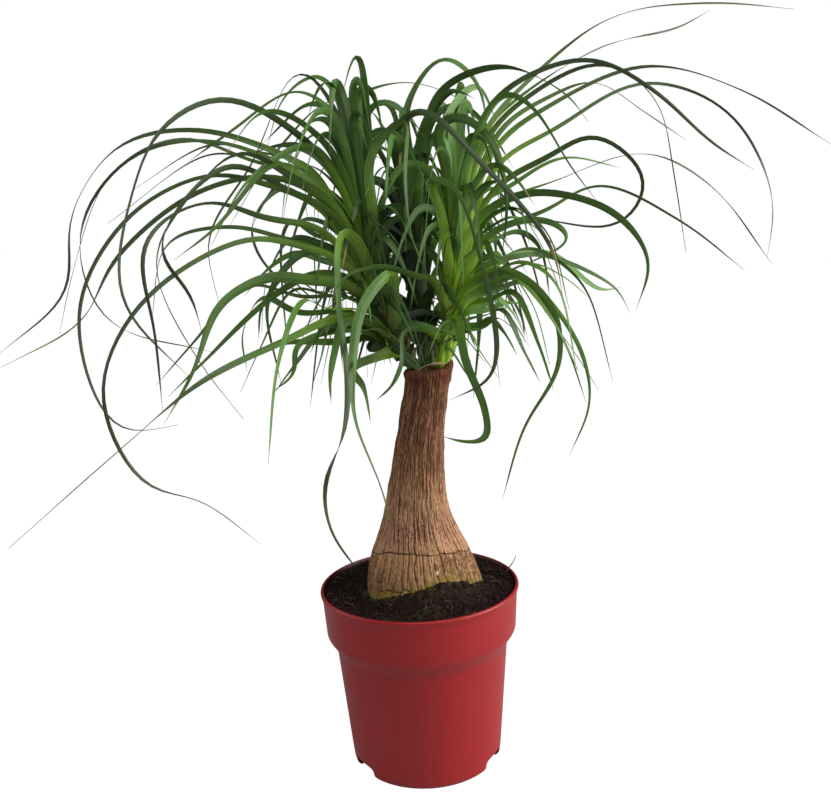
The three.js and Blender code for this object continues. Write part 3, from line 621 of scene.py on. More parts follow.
def streaks_group():
    """Fine lines for fibres, veins and scratches: two sizes of noise on a vector that the material has
    stretched."""
    group, given, end = new_group("Streaks", ("Vector", "Scale", "Sharpness"), ("Height", "Lines"))
    coarse = noise(group, given["Vector"], given["Scale"], 3.0, 0.6)
    fine = noise(group, given["Vector"], maths(group, "MULTIPLY", given["Scale"], 3.1), 2.0)
    height = maths(group, "MULTIPLY_ADD", fine, 0.45, coarse)
    group.links.new(height, end.inputs["Height"])
    group.links.new(sharpened(group, height, 0.72, given["Sharpness"]), end.inputs["Lines"])
    return group


def use(tree, name, build, inputs):
    """The outputs of a node group, which is built when it is first used."""
    group = bpy.data.node_groups.get(name) or build()
    return put(tree, "ShaderNodeGroup", inputs, node_tree=group).outputs


def mottled(tree, vector, scale, contrast, colours):
    """The mottling group with its own values: its outputs Colour and Mask."""
    first, second = colours
    inputs = {"Vector": vector, "Scale": scale, "Contrast": contrast, "First": first, "Second": second}
    return use(tree, "Mottling", mottling_group, inputs)


def streaked(tree, vector, scale, sharpness):
    """The streaks group with its own values: its outputs Height and Lines."""
    inputs = {"Vector": vector, "Scale": scale, "Sharpness": sharpness}
    return use(tree, "Streaks", streaks_group, inputs)


def new_material(name, specular=0.5):
    """An empty material: its node tree and its Principled shader, joined to the output."""
    material = bpy.data.materials.new(name)
    material.use_nodes = True
    tree = material.node_tree
    tree.nodes.clear()
    shader = put(tree, "ShaderNodeBsdfPrincipled", {"Specular IOR Level": specular})
    put(tree, "ShaderNodeOutputMaterial", {"Surface": shader.outputs["BSDF"]})
    return material, tree, shader


def set_skin(tree, shader, colour, roughness):
    tree.links.new(colour, shader.inputs["Base Color"])
    tree.links.new(roughness, shader.inputs["Roughness"])


def raise_surface(tree, shader, height, strength, distance):
    bump = put(tree, "ShaderNodeBump", {"Height": height, "Strength": strength, "Distance": distance})
    tree.links.new(bump.outputs["Normal"], shader.inputs["Normal"])


# ---- materials -----------------------------------------------------------------------------------------
def pot_plastic(settings):
    """Moulded plastic: a soft sheen, barely cloudy, with orange peel, faint handling scratches with a
    little dust in them, and a soil stain above the soil on the inside that is also painted shade there."""
    material, tree, shader = new_material("Pot plastic", 0.4)
    place = on_object(tree)
    deep = (*[c * 0.9 for c in settings.colour], 1.0)
    pale = (*[min(1.0, c * 1.25 + 0.05) for c in settings.colour], 1.0)
    cloud = mottled(tree, place, 14.0, 1.2, (deep, (*settings.colour, 1.0)))
    scratch = streaked(tree, on_object(tree, (1, 1, 0.12)), 260.0, 6.0)
    dust = spread(tree, scratch["Lines"], 0.75, 1.0, 0.0, 0.04)
    level = put(tree, "ShaderNodeVectorMath", {0: place, 1: (1, 1, 0)}, operation="MULTIPLY").outputs[0]
    radius = put(tree, "ShaderNodeVectorMath", {0: level}, operation="LENGTH").outputs["Value"]
    # Soil stain and painted shade on the inside of the rim, above the soil.
    inside = spread(tree, radius, *((RIM_RADIUS - inset) * MM for inset in STAIN_AND_SHADE_INSET))
    height = component(tree, place, "Z")
    high = spread(tree, height, *(edge * MM for edge in STAIN_AND_SHADE_HEIGHTS), 0.0, 0.85)
    stain_and_shade = maths(tree, "MULTIPLY", inside, high)
    rough = spread(tree, cloud["Mask"], 0.0, 1.0, settings.roughness - 0.05, settings.roughness + 0.05)
    set_skin(tree, shader, layered(tree, cloud["Colour"], (dust, pale), (stain_and_shade, SOIL_STAIN_AND_SHADE)), rough)
    peel = maths(tree, "MULTIPLY_ADD", scratch["Height"], 0.1, noise(tree, place, 900.0, 1.0))
    raise_surface(tree, shader, peel, 0.25, 0.0001)
    return material


def bark(settings):
    """Dry bark: plates of differing tone, darker towards both sides of the base as painted shade, browner
    above, with worn ridges, dark fissures, a corky cut, a pale fleck, and yellow-green moss near the soil."""
    material, tree, shader = new_material("Bark", 0.25)
    grain = streaked(tree, on_object(tree, (1, 1, 0.28)), 620.0, 4.2)
    lower = mottled(tree, on_object(tree, (1, 1, 0.4)), 130.0, 2.2, PLATES)["Colour"]
    upper = mottled(tree, on_object(tree, (1, 1, 0.3)), 150.0, 2.4, UPPER_BARK)["Colour"]
    height, tone = mark(tree, "height"), mark(tree, "tone")
    rubbed = spread(tree, grain["Lines"], 0.55, 1.0, 0.0, 0.6)
    worn = maths(tree, "MULTIPLY", rubbed, spread(tree, height, 0.0, 1.0, 1.0, 0.45))
    tuft = noise(tree, on_object(tree), 420.0, 3.0)
    green = mottled(tree, on_object(tree), 500.0, 2.5, MOSS)["Colour"]
    colour = layered(
        tree, lower,
        (height, upper),
        (spread(tree, tone, 0.55, 0.95, 0.0, 0.7), ROSY_BARK),
        (spread(tree, tone, 0.5, 0.1, 0.0, 0.8), SHADED_BARK),
        (worn, WORN_BARK),
        (spread(tree, grain["Lines"], 0.4, 0.0, 0.0, 0.5), DULL_BARK),
        (maths(tree, "MULTIPLY", mark(tree, "cork"), 0.75), CORK),
        (spread(tree, mark(tree, "fissure"), 0.1, 0.8), FISSURE),
        (mark(tree, "fleck"), FLECK),
        (maths(tree, "MULTIPLY", mark(tree, "moss"), spread(tree, tuft, 0.38, 0.58)), green),
    )
    set_skin(tree, shader, colour, spread(tree, grain["Lines"], 0.0, 1.0, 0.95, 0.78))
    rise = maths(tree, "MULTIPLY_ADD", tuft, 0.4, grain["Height"])
    raise_surface(tree, shader, rise, 0.8, settings.grain)
    return material


def potting_mix(name, settings, rise):
    """Damp, dark, crumbly mix: cloudy browns, with pale flecks of fibre and sand, rusty bits and moss."""
    material, tree, shader = new_material(name, 0.15)
    place = on_object(tree)
    browns = (*settings.colour, 1.0), (*[c * 1.8 for c in settings.colour], 1.0)
    grit = noise(tree, place, 900.0, 3.0)
    colour = layered(
        tree, mottled(tree, place, 260.0, 2.6, browns)["Colour"],
        (spread(tree, noise(tree, place, 1300.0, 1.0), 0.64, 0.72, 0.0, 0.6), SOIL_FLECK),
        (mark(tree, "tone"), RUSTY_MIX),
        (mark(tree, "moss"), SOIL_MOSS),
    )
    set_skin(tree, shader, colour, spread(tree, grit, 0.3, 0.7, 0.8, 1.0))
    raise_surface(tree, shader, grit, 0.9, rise)
    return material


def dry_fibre():
    """Dry plant fibre: straw colours in short bands along its run."""
    material, tree, shader = new_material("Dry fibre")
    band = mottled(tree, on_object(tree), 120.0, 2.5, DRY_FIBRE)
    set_skin(tree, shader, band["Colour"], spread(tree, band["Mask"], 0.0, 1.0, 0.65, 0.9))
    return material


def leaf_skin(name, lime, light, settings):
    """A strap leaf: pale and lime at its foot, deeper and bluer green above, partly as painted sheen, with
    lengthwise veins and a lighter midrib, a little darker underneath as painted shade, duller on long
    leaves, withered at the tip and darkened by painted shade in the heart of the crown. Each shoot's
    blades are lighter or darker, and their feet more or less lime, partly as painted light and shade."""
    material, tree, shader = new_material(name, 0.4)
    face = put(tree, "ShaderNodeUVMap", uv_map="UVMap").outputs["UV"]
    veins = streaked(tree, stretched(tree, face, (9.0, 0.4, 1.0)), 1.0, 2.4)
    along, tone = mark(tree, "along"), mark(tree, "tone")
    greens = (*settings.dark_green, 1.0), (*settings.light_green, 1.0)
    cloud = mottled(tree, on_object(tree), 28.0, 1.6, greens)["Colour"]
    # Each blade's own tone, raised or lowered by its shoot's painted light and shade.
    tone_and_painted_light = maths(tree, "MULTIPLY_ADD", tone, 1.0, light - 0.45)
    greens_painted_sheen = layered(tree, GREENS_AND_PAINTED_SHEEN[0], (tone, GREENS_AND_PAINTED_SHEEN[1]))
    from_middle = maths(tree, "ABSOLUTE", maths(tree, "SUBTRACT", component(tree, face, "X"), 0.5))
    from_heart = put(tree, "ShaderNodeVectorMath", {0: on_object(tree, CROWN_SCALE), 1: CROWN_HEART},
                     operation="DISTANCE").outputs["Value"]
    colour = layered(
        tree, cloud,
        (tone_and_painted_light, greens[1]),
        # Away from the foot: partly the blades' own bluish greens and partly painted sheen.
        (spread(tree, along, 0.12, 0.5, 0.0, 0.62), greens_painted_sheen),
        (spread(tree, veins["Lines"], 0.0, 1.0, 0.0, 0.6), VEIN),
        (spread(tree, along, 0.02, 0.36, lime, 0.0), (*settings.foot_green, 1.0)),
        (spread(tree, along, 0.0, 0.05, 0.5 * lime, 0.0), PALE_FOOT),
        (spread(tree, from_middle, 0.0, 0.1, 0.28, 0.0), MIDRIB),
        # Lower face: a duller green of its own, made darker as painted shade.
        (maths(tree, "MULTIPLY", mark(tree, "under"), 0.25), UNDERSIDE),
        (spread(tree, mark(tree, "outer"), 0.15, 0.6, 0.0, 0.85), OUTER_LEAF),
        (mark(tree, "dry"), WITHERED),
        # Painted shade: the blades darken towards the heart of the crown.
        (spread(tree, from_heart, 0.3, 1.35, settings.shade, 0.0), DEEP_SHADE),
    )
    rough = spread(tree, veins["Lines"], 0.0, 1.0, settings.roughness, settings.roughness + 0.12)
    set_skin(tree, shader, colour, rough)
    raise_surface(tree, shader, veins["Height"], 0.35, 0.00025)
    return material


def floor_paper():
    """Matt, pale paper, barely cloudy, that shows lighter to the camera than it lights the plant."""
    material, tree, shader = new_material("Pale floor", 0.1)
    tint = mottled(tree, on_object(tree), 3.0, 0.6, FLOOR_GREYS)["Colour"]
    tree.links.new(tint, shader.inputs["Base Color"])
    shader.inputs["Roughness"].default_value = 0.9
    glow = put(tree, "ShaderNodeEmission", {"Color": WHITE, "Strength": 1.2})
    seen = maths(tree, "MULTIPLY", put(tree, "ShaderNodeLightPath").outputs["Is Camera Ray"], 0.82)
    mix = put(tree, "ShaderNodeMixShader", {0: seen, 1: shader.outputs[0], 2: glow.outputs[0]})
    output = next(node for node in tree.nodes if node.type == "OUTPUT_MATERIAL")
    tree.links.new(mix.outputs[0], output.inputs["Surface"])
    return material


# ---- pot -----------------------------------------------------------------------------------------------
def rounded(corners, rounding, steps=5):
    """A profile with its corners rounded: each becomes a quadratic curve between the points that lie a
    given distance down its two edges, or just under half the edge where that is shorter."""
    before, after = np.roll(corners, 1, axis=0), np.roll(corners, -1, axis=0)
    edge_in = np.linalg.norm(before - corners, axis=1)
    edge_out = np.linalg.norm(after - corners, axis=1)
    back = corners + unit(before - corners) * np.minimum(rounding, 0.45 * edge_in)[:, None]
    on = corners + unit(after - corners) * np.minimum(rounding, 0.45 * edge_out)[:, None]
    t = np.linspace(0, 1, steps)[None, :, None]
    curve = back[:, None] * (1 - t) ** 2 + 2 * t * (1 - t) * corners[:, None] + on[:, None] * t**2
    return curve[1:-1].reshape(-1, 2)


def turned_skin(profile, around):
    """The profile of radius and height turned once round the vertical axis, its two ends closed by
    points on the axis."""
    angle = np.arange(around) * TURN / around
    r, z = profile[:, :1], profile[:, 1:]
    rings = np.stack([r * np.cos(angle), r * np.sin(angle), np.broadcast_to(z, (len(r), around))], axis=-1)
    return closed_rings(rings, (0, 0, profile[0, 1]), (0, 0, profile[-1, 1]))


def notch_cutters():
    """Cutters for the foot: arches of |x/w|^5 + |z/h|^5 = 1 carried outwards, and round drills."""
    t = np.linspace(0, math.pi, 25)
    arch = np.stack([NOTCH_HALF_WIDTH * np.sign(np.cos(t)) * np.abs(np.cos(t)) ** (2 / 5),
                     NOTCH_HEIGHT * np.abs(np.sin(t)) ** (2 / 5)], axis=-1)
    arch = np.vstack([arch, [(-NOTCH_HALF_WIDTH, -10), (NOTCH_HALF_WIDTH, -10)]])
    cutters = []
    for angle in np.radians(NOTCH_ANGLES):
        outward = np.array([math.cos(angle), math.sin(angle)])
        side = np.array([-math.sin(angle), math.cos(angle)])
        rings = np.array([np.column_stack([outward * reach + arch[:, :1] * side, arch[:, 1]])
                          for reach in (60, 110)])
        cutters.append(closed_rings(rings, rings[0].mean(axis=0), rings[1].mean(axis=0)))
    line = np.array([(DRAIN_HOLE_RADIUS, -20), (DRAIN_HOLE_RADIUS, 20)], float)
    drill, drill_faces = turned_skin(line, 28)
    for k in range(DRAIN_HOLES):
        turn = TURN * k / DRAIN_HOLES
        centre = (DRAIN_HOLE_CIRCLE * math.cos(turn), DRAIN_HOLE_CIRCLE * math.sin(turn), 0)
        cutters.append((drill + centre, drill_faces))
    return joined(cutters)


def cut_away(mesh, points, faces):
    """The mesh with the cutters taken out of it, sharp where the cut faces meet the skin."""
    body, tool = add_object("uncut", mesh), add_object("cutter", make_mesh("cutter", points, faces))
    cut = body.modifiers.new("cut", "BOOLEAN")
    cut.operation, cut.solver, cut.object = "DIFFERENCE", "EXACT", tool
    made = bpy.data.meshes.new_from_object(body.evaluated_get(bpy.context.evaluated_depsgraph_get()))
    made.name = mesh.name
    for thing in (body, tool):
        bpy.data.objects.remove(thing)
    made.polygons.foreach_set("use_smooth", np.ones(len(made.polygons), bool))
    made.set_sharp_from_angle(angle=math.radians(SHARP_CUT))
    return made


# ---- trunk ---------------------------------------------------------------------------------------------
def way_round(u, place):
    """How far u lies from a place round the trunk, the shorter way, in turns."""
    return (u - place + 0.5) % 1 - 0.5


def nearness(u, place):
    """1 at a place round the trunk, 0 at the far side, and a cosine between them."""
    return 0.5 + 0.5 * np.cos(TURN * (u - place))


def trunk_outline(angle, z):
    """Radius and centre x of the trunk: smooth through its sections, with faint lobes at the base."""
    base = np.clip((260 - z) / 90, 0, 1)
    lobes = 1 + base * (0.012 * np.sin(3 * angle + 0.6) + 0.008 * np.sin(7 * angle + 2))
    lobes += 0.006 * np.sin(5 * angle + z / 21)
    radius = through(TRUNK_ROWS[:, 0], TRUNK_ROWS[:, 1], z) * lobes
    return radius, through(TRUNK_ROWS[:, 0], TRUNK_ROWS[:, 2], z)


def ring_crack(u):
    """Height of the crack that rings the base: higher on the viewed side and lower at its right, in
    level stretches joined by small steps."""
    viewed = np.clip(-np.sin(TURN * u), 0, 1) ** 0.7
    steps = blend_in(0.44, 0.56, value_noise(u, u * 0 + 3.5, 13, 41))
    fine = blend_in(0.4, 0.6, value_noise(u, u * 0 + 0.5, 41, 42))
    dip = 4 * bell(way_round(u, 0.96), 0.06)
    return RING_CRACK_HEIGHT + RING_CRACK_RISE * viewed + 2.2 * (steps - 0.5) + 0.9 * (fine - 0.5) - dip


def upright_cracks(u, z, across, width, seed, more):
    """Wandering upright cracks between columns of bark.

    A point's column is its place round the trunk in columns, shifted by smooth noise that changes up
    the trunk. The crack is a bell curve of the distance to the column's border, and its strength is
    noise along each border plus `more`, so that cracks come and go. Returns that and the column's
    number."""
    shift = 1.1 * value_noise(u, z / 52, across // 4, seed) + 0.5 * value_noise(u, z / 9, across, seed + 1)
    place = u * across + shift
    border = np.round(place)
    strength = value_noise((border % across + 0.5) / across, z / 13, across, seed + 2)
    crack = bell(place - border, width) * blend_in(0.1, 0.7, strength + more)
    return crack, np.floor(place).astype(int) % across


def bark_relief(u, z, settings):
    """Depth of the bark's surface, how far each point is down a crack, and each ridge's tone.

    Two sets of upright cracks, coarse and fine; below the ring crack both are narrow, the fine ones are
    fainter except at the right of the front, and some ridges have a short level crack. Above it lies a
    band crazed into small plates. Low noise gives lumps, flakes of noise roughen the ridges, the ring crack
    is one more bell-shaped dip, and the cut top is corky. Tones are drawn for each ridge and rise in the
    crazed band; they fall towards both sides of the base as painted shade."""
    above_ring = z - ring_crack(u)
    low = 1 - blend_in(-6, 6, above_ring)
    busy = low * (0.26 * nearness(u, 0.83) ** 2 - 0.06)
    coarse, ridge = upright_cracks(u, z, RIDGES_AROUND, 0.13 - 0.05 * low, 31, busy)
    fine, sliver = upright_cracks(u, z, FINE_RIDGES_AROUND, 0.2 - 0.08 * low, 35, 0.0)
    draws = np.random.default_rng(43).random((3, RIDGES_AROUND))
    level = 180 + 13 * draws[0][ridge] + 1.6 * (value_noise(u, z * 0, 90, 44) - 0.5)
    short = bell(z - level, 0.75) * (draws[1][ridge] > 0.5) * low
    ring = bell(above_ring, 0.6) * (0.55 + 0.45 * value_noise(u, u * 0, 31, 45))
    crazed = bell(z - CRAZED_HEIGHT, CRAZED_REACH)
    edge = plates(u, z / 3.4, 64, 48)[1]
    craze = bell(edge, 0.2) * crazed * blend_in(0.25, 0.5, value_noise(u, z / 6, 40, 49))
    middle = blend_in(214, 240, z) * (1 - 0.5 * blend_in(290, 330, z))
    shown = 0.4 + 0.55 * middle + 0.45 * (low * nearness(u, 0.85) ** 3)
    crack = np.maximum(np.maximum(coarse * (1 - 0.1 * low), fine * shown), 0.65 * craze)
    depth = settings.fissure_depth / MM * crack * (1 + 0.3 * low)
    depth += settings.ring_depth / MM * np.maximum(ring, 0.7 * short)
    lump = 1.4 * (value_noise(u, z / 18, 12, 36) - 0.5) + 0.5 * (value_noise(u, z / 7, 48, 37) - 0.5)
    flake = 0.6 * (value_noise(u, z / 4.5, 120, 38) - 0.5) * (1 - 0.6 * low)
    cork = 1.3 * (value_noise(u, z / 7, 16, 39) - 0.5) + 0.8 * (value_noise(u, z / 2.5, 44, 40) - 0.5)
    knob = 1.8 * knob_share(u) - 0.9
    fissure = np.clip(np.maximum(crack, np.maximum(ring, short)), 0, 1)
    tone = 0.5 * draws[2][ridge] + 0.3 * value_noise(u, z / 13, 88, 46) + 0.2 * (sliver * 7 % 11) / 10
    # Painted shade: the tone is lowered towards both sides of the base.
    sideways = np.cos(TURN * u + 0.2)
    tone += 0.3 * crazed - 0.62 * low * np.abs(sideways) ** np.where(sideways > 0, 1.6, 1.1)
    return lump + flake + blend_in(364, 372, z) * (cork + knob) - depth, fissure, tone


def knob_share(u):
    """The knob at the right of the cut top, as a bell curve of the way round to it."""
    return bell(way_round(u, KNOB_PLACE), KNOB_WIDTH)


def trunk_surface(settings):
    """The trunk as a function of the angle and the height: its outline, moved out by the bark's relief,
    and a cut top whose rings close on its centre."""
    stretches = [np.arange(*stretch) for stretch in RING_STRETCHES]
    heights = np.concatenate([np.linspace(TRUNK_FOOT, 154, 6), *stretches, [381.2, 382.2, TRUNK_TOP]])
    z, u = np.meshgrid(heights, np.arange(settings.columns) / settings.columns, indexing="ij")
    radius, centre = trunk_outline(TURN * u, z)
    relief, fissure, tone = bark_relief(u, z, settings)
    radius = radius + relief * blend_in(120, 160, z)
    lift = KNOB_HEIGHT * knob_share(u) + 1.5 * (value_noise(u, u * 0, 19, 50) - 0.5)
    side = np.stack([centre + radius * np.cos(TURN * u), radius * np.sin(TURN * u),
                     z + lift * blend_in(368, TRUNK_TOP, z)], axis=-1)
    share = TOP_RINGS[:, None, None]
    middle = np.array([TRUNK_ROWS[-1, 2], 0, TRUNK_TOP])
    top = middle + (side[-1][None] - middle) * share
    top[..., 2] = TRUNK_TOP + (top[..., 2] - TRUNK_TOP) * share[..., 0] ** 2
    top[..., 2] += 0.8 * (on_ground(value_noise, top[..., 0] + 90, top[..., 1] + 90, 3, 46) - 0.6)
    points, faces = closed_rings(np.concatenate([side, top]), (TRUNK_ROWS[0, 2], 0, TRUNK_FOOT), middle)
    x, y = side[..., 0], side[..., 1]
    above = side[..., 2] - soil_top(x, y)
    damp = 0.6 + 0.4 * np.cos(TURN * u + 1.9)
    moss = np.clip(1.25 - above / (9 * value_noise(u, z / 5, 26, 47) + 3.5), 0, 1) * damp
    moss = np.maximum(moss, 0.8 * fissure * np.clip(1 - above / 26, 0, 1) * damp)
    spot = bell(x - FLECK_X, FLECK_RADIUS) * bell(z - FLECK_HEIGHT, FLECK_RADIUS) * (y < 0)
    fleck = spot * 1.8 * value_noise(u, z / 1.3, 260, 51)
    # Values over the side, and the one value of the cut top and the poles.
    values = {
        "fissure": (fissure, 0.35), "moss": (moss, 0.0), "cork": (blend_in(362, 376, z), 1.0),
        "height": (blend_in(222, 340, z), 1.0), "tone": (tone, 0.5),
        "fleck": (blend_in(0.3, 0.6, fleck), 0.0),
    }
    rest = len(points) - z.size
    marks = {key: np.append(over, np.full(rest, on_cut)) for key, (over, on_cut) in values.items()}
    return points, faces, marks


# ---- soil ----------------------------------------------------------------------------------------------
def heap(x, y):
    """Share of the mound's full height: it falls off as a bell curve away from the trunk and round it."""
    out = np.maximum(0, np.hypot(x - SWELL_X, y) - SWELL_RADIUS) / MOUND_OUTWARDS
    aside = np.arctan2(y, x - SWELL_X) - MOUND_TURN
    around = SWELL_RADIUS * np.arctan2(np.sin(aside), np.cos(aside)) / MOUND_AROUND
    return np.exp(-out * out - around * around)


def soil_top(x, y):
    """Height of the soil: a low dome, crumbs heaped against the trunk's front, gentle waves, and a
    little more next to the pot's wall."""
    r = np.hypot(x, y)
    rise = SOIL_RISE * (1 - (r / (RIM_RADIUS - WALL)) ** 2) + 1.6 * blend_in(72, 90, r)
    waves = 1.1 * np.sin(x / 9 + 1) * np.sin(y / 11 + 2) + 0.6 * np.sin(x / 5 + y / 6)
    return SOIL_EDGE_HEIGHT + rise + MOUND_HEIGHT * heap(x, y) + waves


def crumble(x, y):
    """Relief of loose mix: domes on scattered points at two sizes, and noise between them."""
    near, fine = on_ground(plates, x, y, 5.2, 51)[0], on_ground(plates, x, y, 2.3, 52)[0]
    domes = 1.9 * np.sqrt(np.clip(1 - (near / 0.62) ** 2, 0, 1)) * on_ground(value_noise, x, y, 7, 53)
    grit = 0.8 * np.sqrt(np.clip(1 - (fine / 0.6) ** 2, 0, 1))
    return domes + grit + 1.2 * (on_ground(value_noise, x, y, 3.1, 54) - 0.5) - 0.7


def soil_surface(settings):
    """The soil between the pot's wall and the trunk, with its underside and the pit as closed walls.

    The top runs straight from the wall's circle to the trunk's outline, at the soil's height plus
    crumbs; the other rings follow the pot's inside and the trunk below the soil."""
    around = settings.columns
    angle = np.arange(around) * TURN / around
    circle = np.stack([np.cos(angle), np.sin(angle)], axis=-1)

    def level(radius, z, centre=0.0):
        return np.column_stack([circle * np.reshape(radius, (-1, 1)) + (centre, 0), np.full(around, z)])

    contact = soil_top(SWELL_X + SWELL_RADIUS * circle[:, 0], SWELL_RADIUS * circle[:, 1])
    foot_radius, foot_centre = trunk_outline(angle, contact)
    outer = circle * SOIL_EDGE_RADIUS
    inner = circle * (foot_radius - 1.4)[:, None] + np.column_stack([foot_centre, 0 * foot_centre])
    share = np.linspace(0, 1, settings.rows)[:, None, None]
    flat = outer * (1 - share) + inner * share
    x, y = flat[..., 0], flat[..., 1]
    settled = blend_in(0, 0.05, share[..., 0])
    z = soil_top(x, y) + crumble(x, y) * (0.25 + 0.75 * settled) - 1.2 * (1 - settled)
    pit = []
    for height, in_by in PIT_RINGS:
        radius, centre = trunk_outline(angle, np.full(around, float(max(height, TRUNK_FOOT))))
        pit.append(level(radius - in_by, height, centre[0]))
    below = np.array([level(*ring) for ring in SOIL_SIDE])
    rings = np.concatenate([below, np.concatenate([flat, z[..., None]], axis=-1), np.array(pit)])
    points, faces = closed_rings(rings, (0, 0, SOIL_SIDE[0][1]), (TRUNK_ROWS[0, 2], 0, PIT_RINGS[-1][0]))
    x, y = points[:, 0], points[:, 1]
    front = bell(x + 8, 26) * bell(y + 82, 12)
    foot = bell(np.hypot(x - 5, y) - 56, 5) * (y < 20)
    moss = np.clip(0.45 * front + 0.5 * foot, 0, 1)
    moss = moss * blend_in(0.45, 0.75, on_ground(value_noise, x, y, 3.5, 55))
    tone = 0.3 * blend_in(0.7, 0.95, on_ground(value_noise, x, y, 2.7, 56))
    tone += 0.2 * heap(x, y) * on_ground(value_noise, x, y, 3.0, 57)
    return points, faces, {"moss": moss, "tone": tone}


def lumps(centres, sizes, seed):
    """Twenty-faced lumps, each with its own turn, stretch and dents: an icosahedron's corners, moved
    in or out at random, scaled along three axes and rotated."""
    g = (1 + math.sqrt(5)) / 2
    corners = np.array([(-1, g, 0), (1, g, 0), (-1, -g, 0), (1, -g, 0), (0, -1, g), (0, 1, g),
                        (0, -1, -g), (0, 1, -g), (g, 0, -1), (g, 0, 1), (-g, 0, -1), (-g, 0, 1)]) / 1.9
    sides = np.array([(0, 11, 5), (0, 5, 1), (0, 1, 7), (0, 7, 10), (0, 10, 11), (1, 5, 9), (5, 11, 4),
                      (11, 10, 2), (10, 7, 6), (7, 1, 8), (3, 9, 4), (3, 4, 2), (3, 2, 6), (3, 6, 8),
                      (3, 8, 9), (4, 9, 5), (2, 4, 11), (6, 2, 10), (8, 6, 7), (9, 8, 1)])
    rng = np.random.default_rng(seed)
    count = len(centres)
    shapes = corners[None] * rng.uniform(0.72, 1.15, (count, 12, 1))
    shapes = shapes * rng.uniform((0.7, 0.6, 0.7), (1.4, 1.0, 1.0), (count, 1, 3))
    turn, tip = rng.uniform(0, TURN, count), rng.normal(0, 0.5, count)
    c, s = np.cos(turn), np.sin(turn)
    ct, st = np.cos(tip), np.sin(tip)
    zero, one = np.zeros(count), np.ones(count)
    tilt = np.array([[one, zero, zero], [zero, ct, -st], [zero, st, ct]]).transpose(2, 0, 1)
    spin = np.array([[c, -s, zero], [s, c, zero], [zero, zero, one]]).transpose(2, 0, 1)
    shapes = np.einsum("nij,njk,nlk->nli", spin, tilt, shapes)
    points = centres[:, None] + shapes * sizes[:, None, None]
    return points, [(sides[None] + 12 * np.arange(count)[:, None, None]).reshape(-1, 3)]


def on_soil(count, rng):
    """Random places on the soil, evenly spread over the ring between the trunk and the pot."""
    low, high = SCATTER_RADII
    r = np.sqrt(rng.uniform(low**2, high**2, count))
    a = rng.uniform(0, TURN, count)
    x, y = r * np.cos(a), r * np.sin(a)
    return np.column_stack([x, y, soil_top(x, y)])


def crumbs(settings):
    """Loose lumps on the soil, most of them small and dark, and more rusty ones in the heap."""
    rng = np.random.default_rng(61)
    centres = on_soil(settings.crumbs, rng)
    sizes = 0.45 + 1.3 * rng.random(len(centres)) ** 3
    centres[:, 2] += 0.6 + 0.3 * sizes
    points, faces = lumps(centres, sizes, 62)
    rusty = 0.02 + 0.2 * heap(centres[:, 0], centres[:, 1])
    tone = np.where(rng.random(len(centres)) < rusty, 0.8, 0.25 * rng.random(len(centres)))
    tone = np.repeat(tone, points.shape[1])
    return points, faces, {"tone": tone, "moss": 0 * tone}


def fibres(settings):
    """Thin fibres: arcs of random turn and bow that lie on the soil, as tapering tubes, and one straw."""
    rng = np.random.default_rng(63)
    start = on_soil(settings.fibres, rng)
    count = len(start)
    heading = rng.uniform(0, TURN, (count, 1))
    bend = rng.normal(0, 1.6, (count, 1))
    length = rng.uniform(4, 15, (count, 1))
    t = np.linspace(-0.5, 0.5, 9)[None]
    x = start[:, :1] + length * np.cos(heading + bend * t) * t
    y = start[:, 1:2] + length * np.sin(heading + bend * t) * t
    inwards = np.minimum(1, FIBRE_REACH / np.hypot(x, y))
    x, y = x * inwards, y * inwards
    z = soil_top(x, y) + 1.0 + rng.uniform(0.2, 2.4, (count, 1)) * (1 - 4 * t**2)
    radii = rng.uniform(0.1, 0.24, (count, 1)) * (1 - 0.8 * np.abs(2 * t) ** 3)
    straw = catmull_rom(STRAW, np.linspace(0, 1, 12))
    return joined([tubes(np.stack([x, y, z], axis=-1), radii, 5),
                   tubes(straw[None], np.linspace(0.9, 0.3, 12)[None], 6)])


# ---- leaves --------------------------------------------------------------------------------------------
class Draws:
    """The plain number sequence that the solids draw from: each is the last times 48271, modulo 2^31-1."""

    def __init__(self, seed):
        self.state = seed

    def next(self):
        self.state = self.state * 48271 % 2147483647
        return self.state / 2147483647


def stem_points(shoot):
    """The stem's foot on the cut trunk and the points that it passes through."""
    return np.array([(*shoot["foot"], TRUNK_TOP + GAP), *shoot["path"]], float)


def midrib(stem, points, order):
    """Control points of a leaf: its root in the stem, a shoulder above it, then its own points."""
    points = np.asarray(points, float)
    rank = order * GOLDEN % 1
    low, high = ROOT_HEIGHTS
    height = min(max((points[0, 2] - low) / (high - low), 0), 1)
    share = ROOT_SHARE["least"] + ROOT_SHARE["height"] * height + ROOT_SHARE["rank"] * rank
    root = catmull_rom(stem, [share])[0]
    away = points[0, :2] - root[:2]
    root[:2] += unit(away) * (ROOT_OFFSET * (1 - share) + 1)
    to_first = points[0] - root
    lift = SHOULDER["lift"] * math.hypot(to_first[0], to_first[1])
    out, up = SHOULDER["out"], SHOULDER["up"]
    shoulder = root + (out * to_first[0], out * to_first[1], up * to_first[2] + lift)
    return np.vstack([root, shoulder, points])


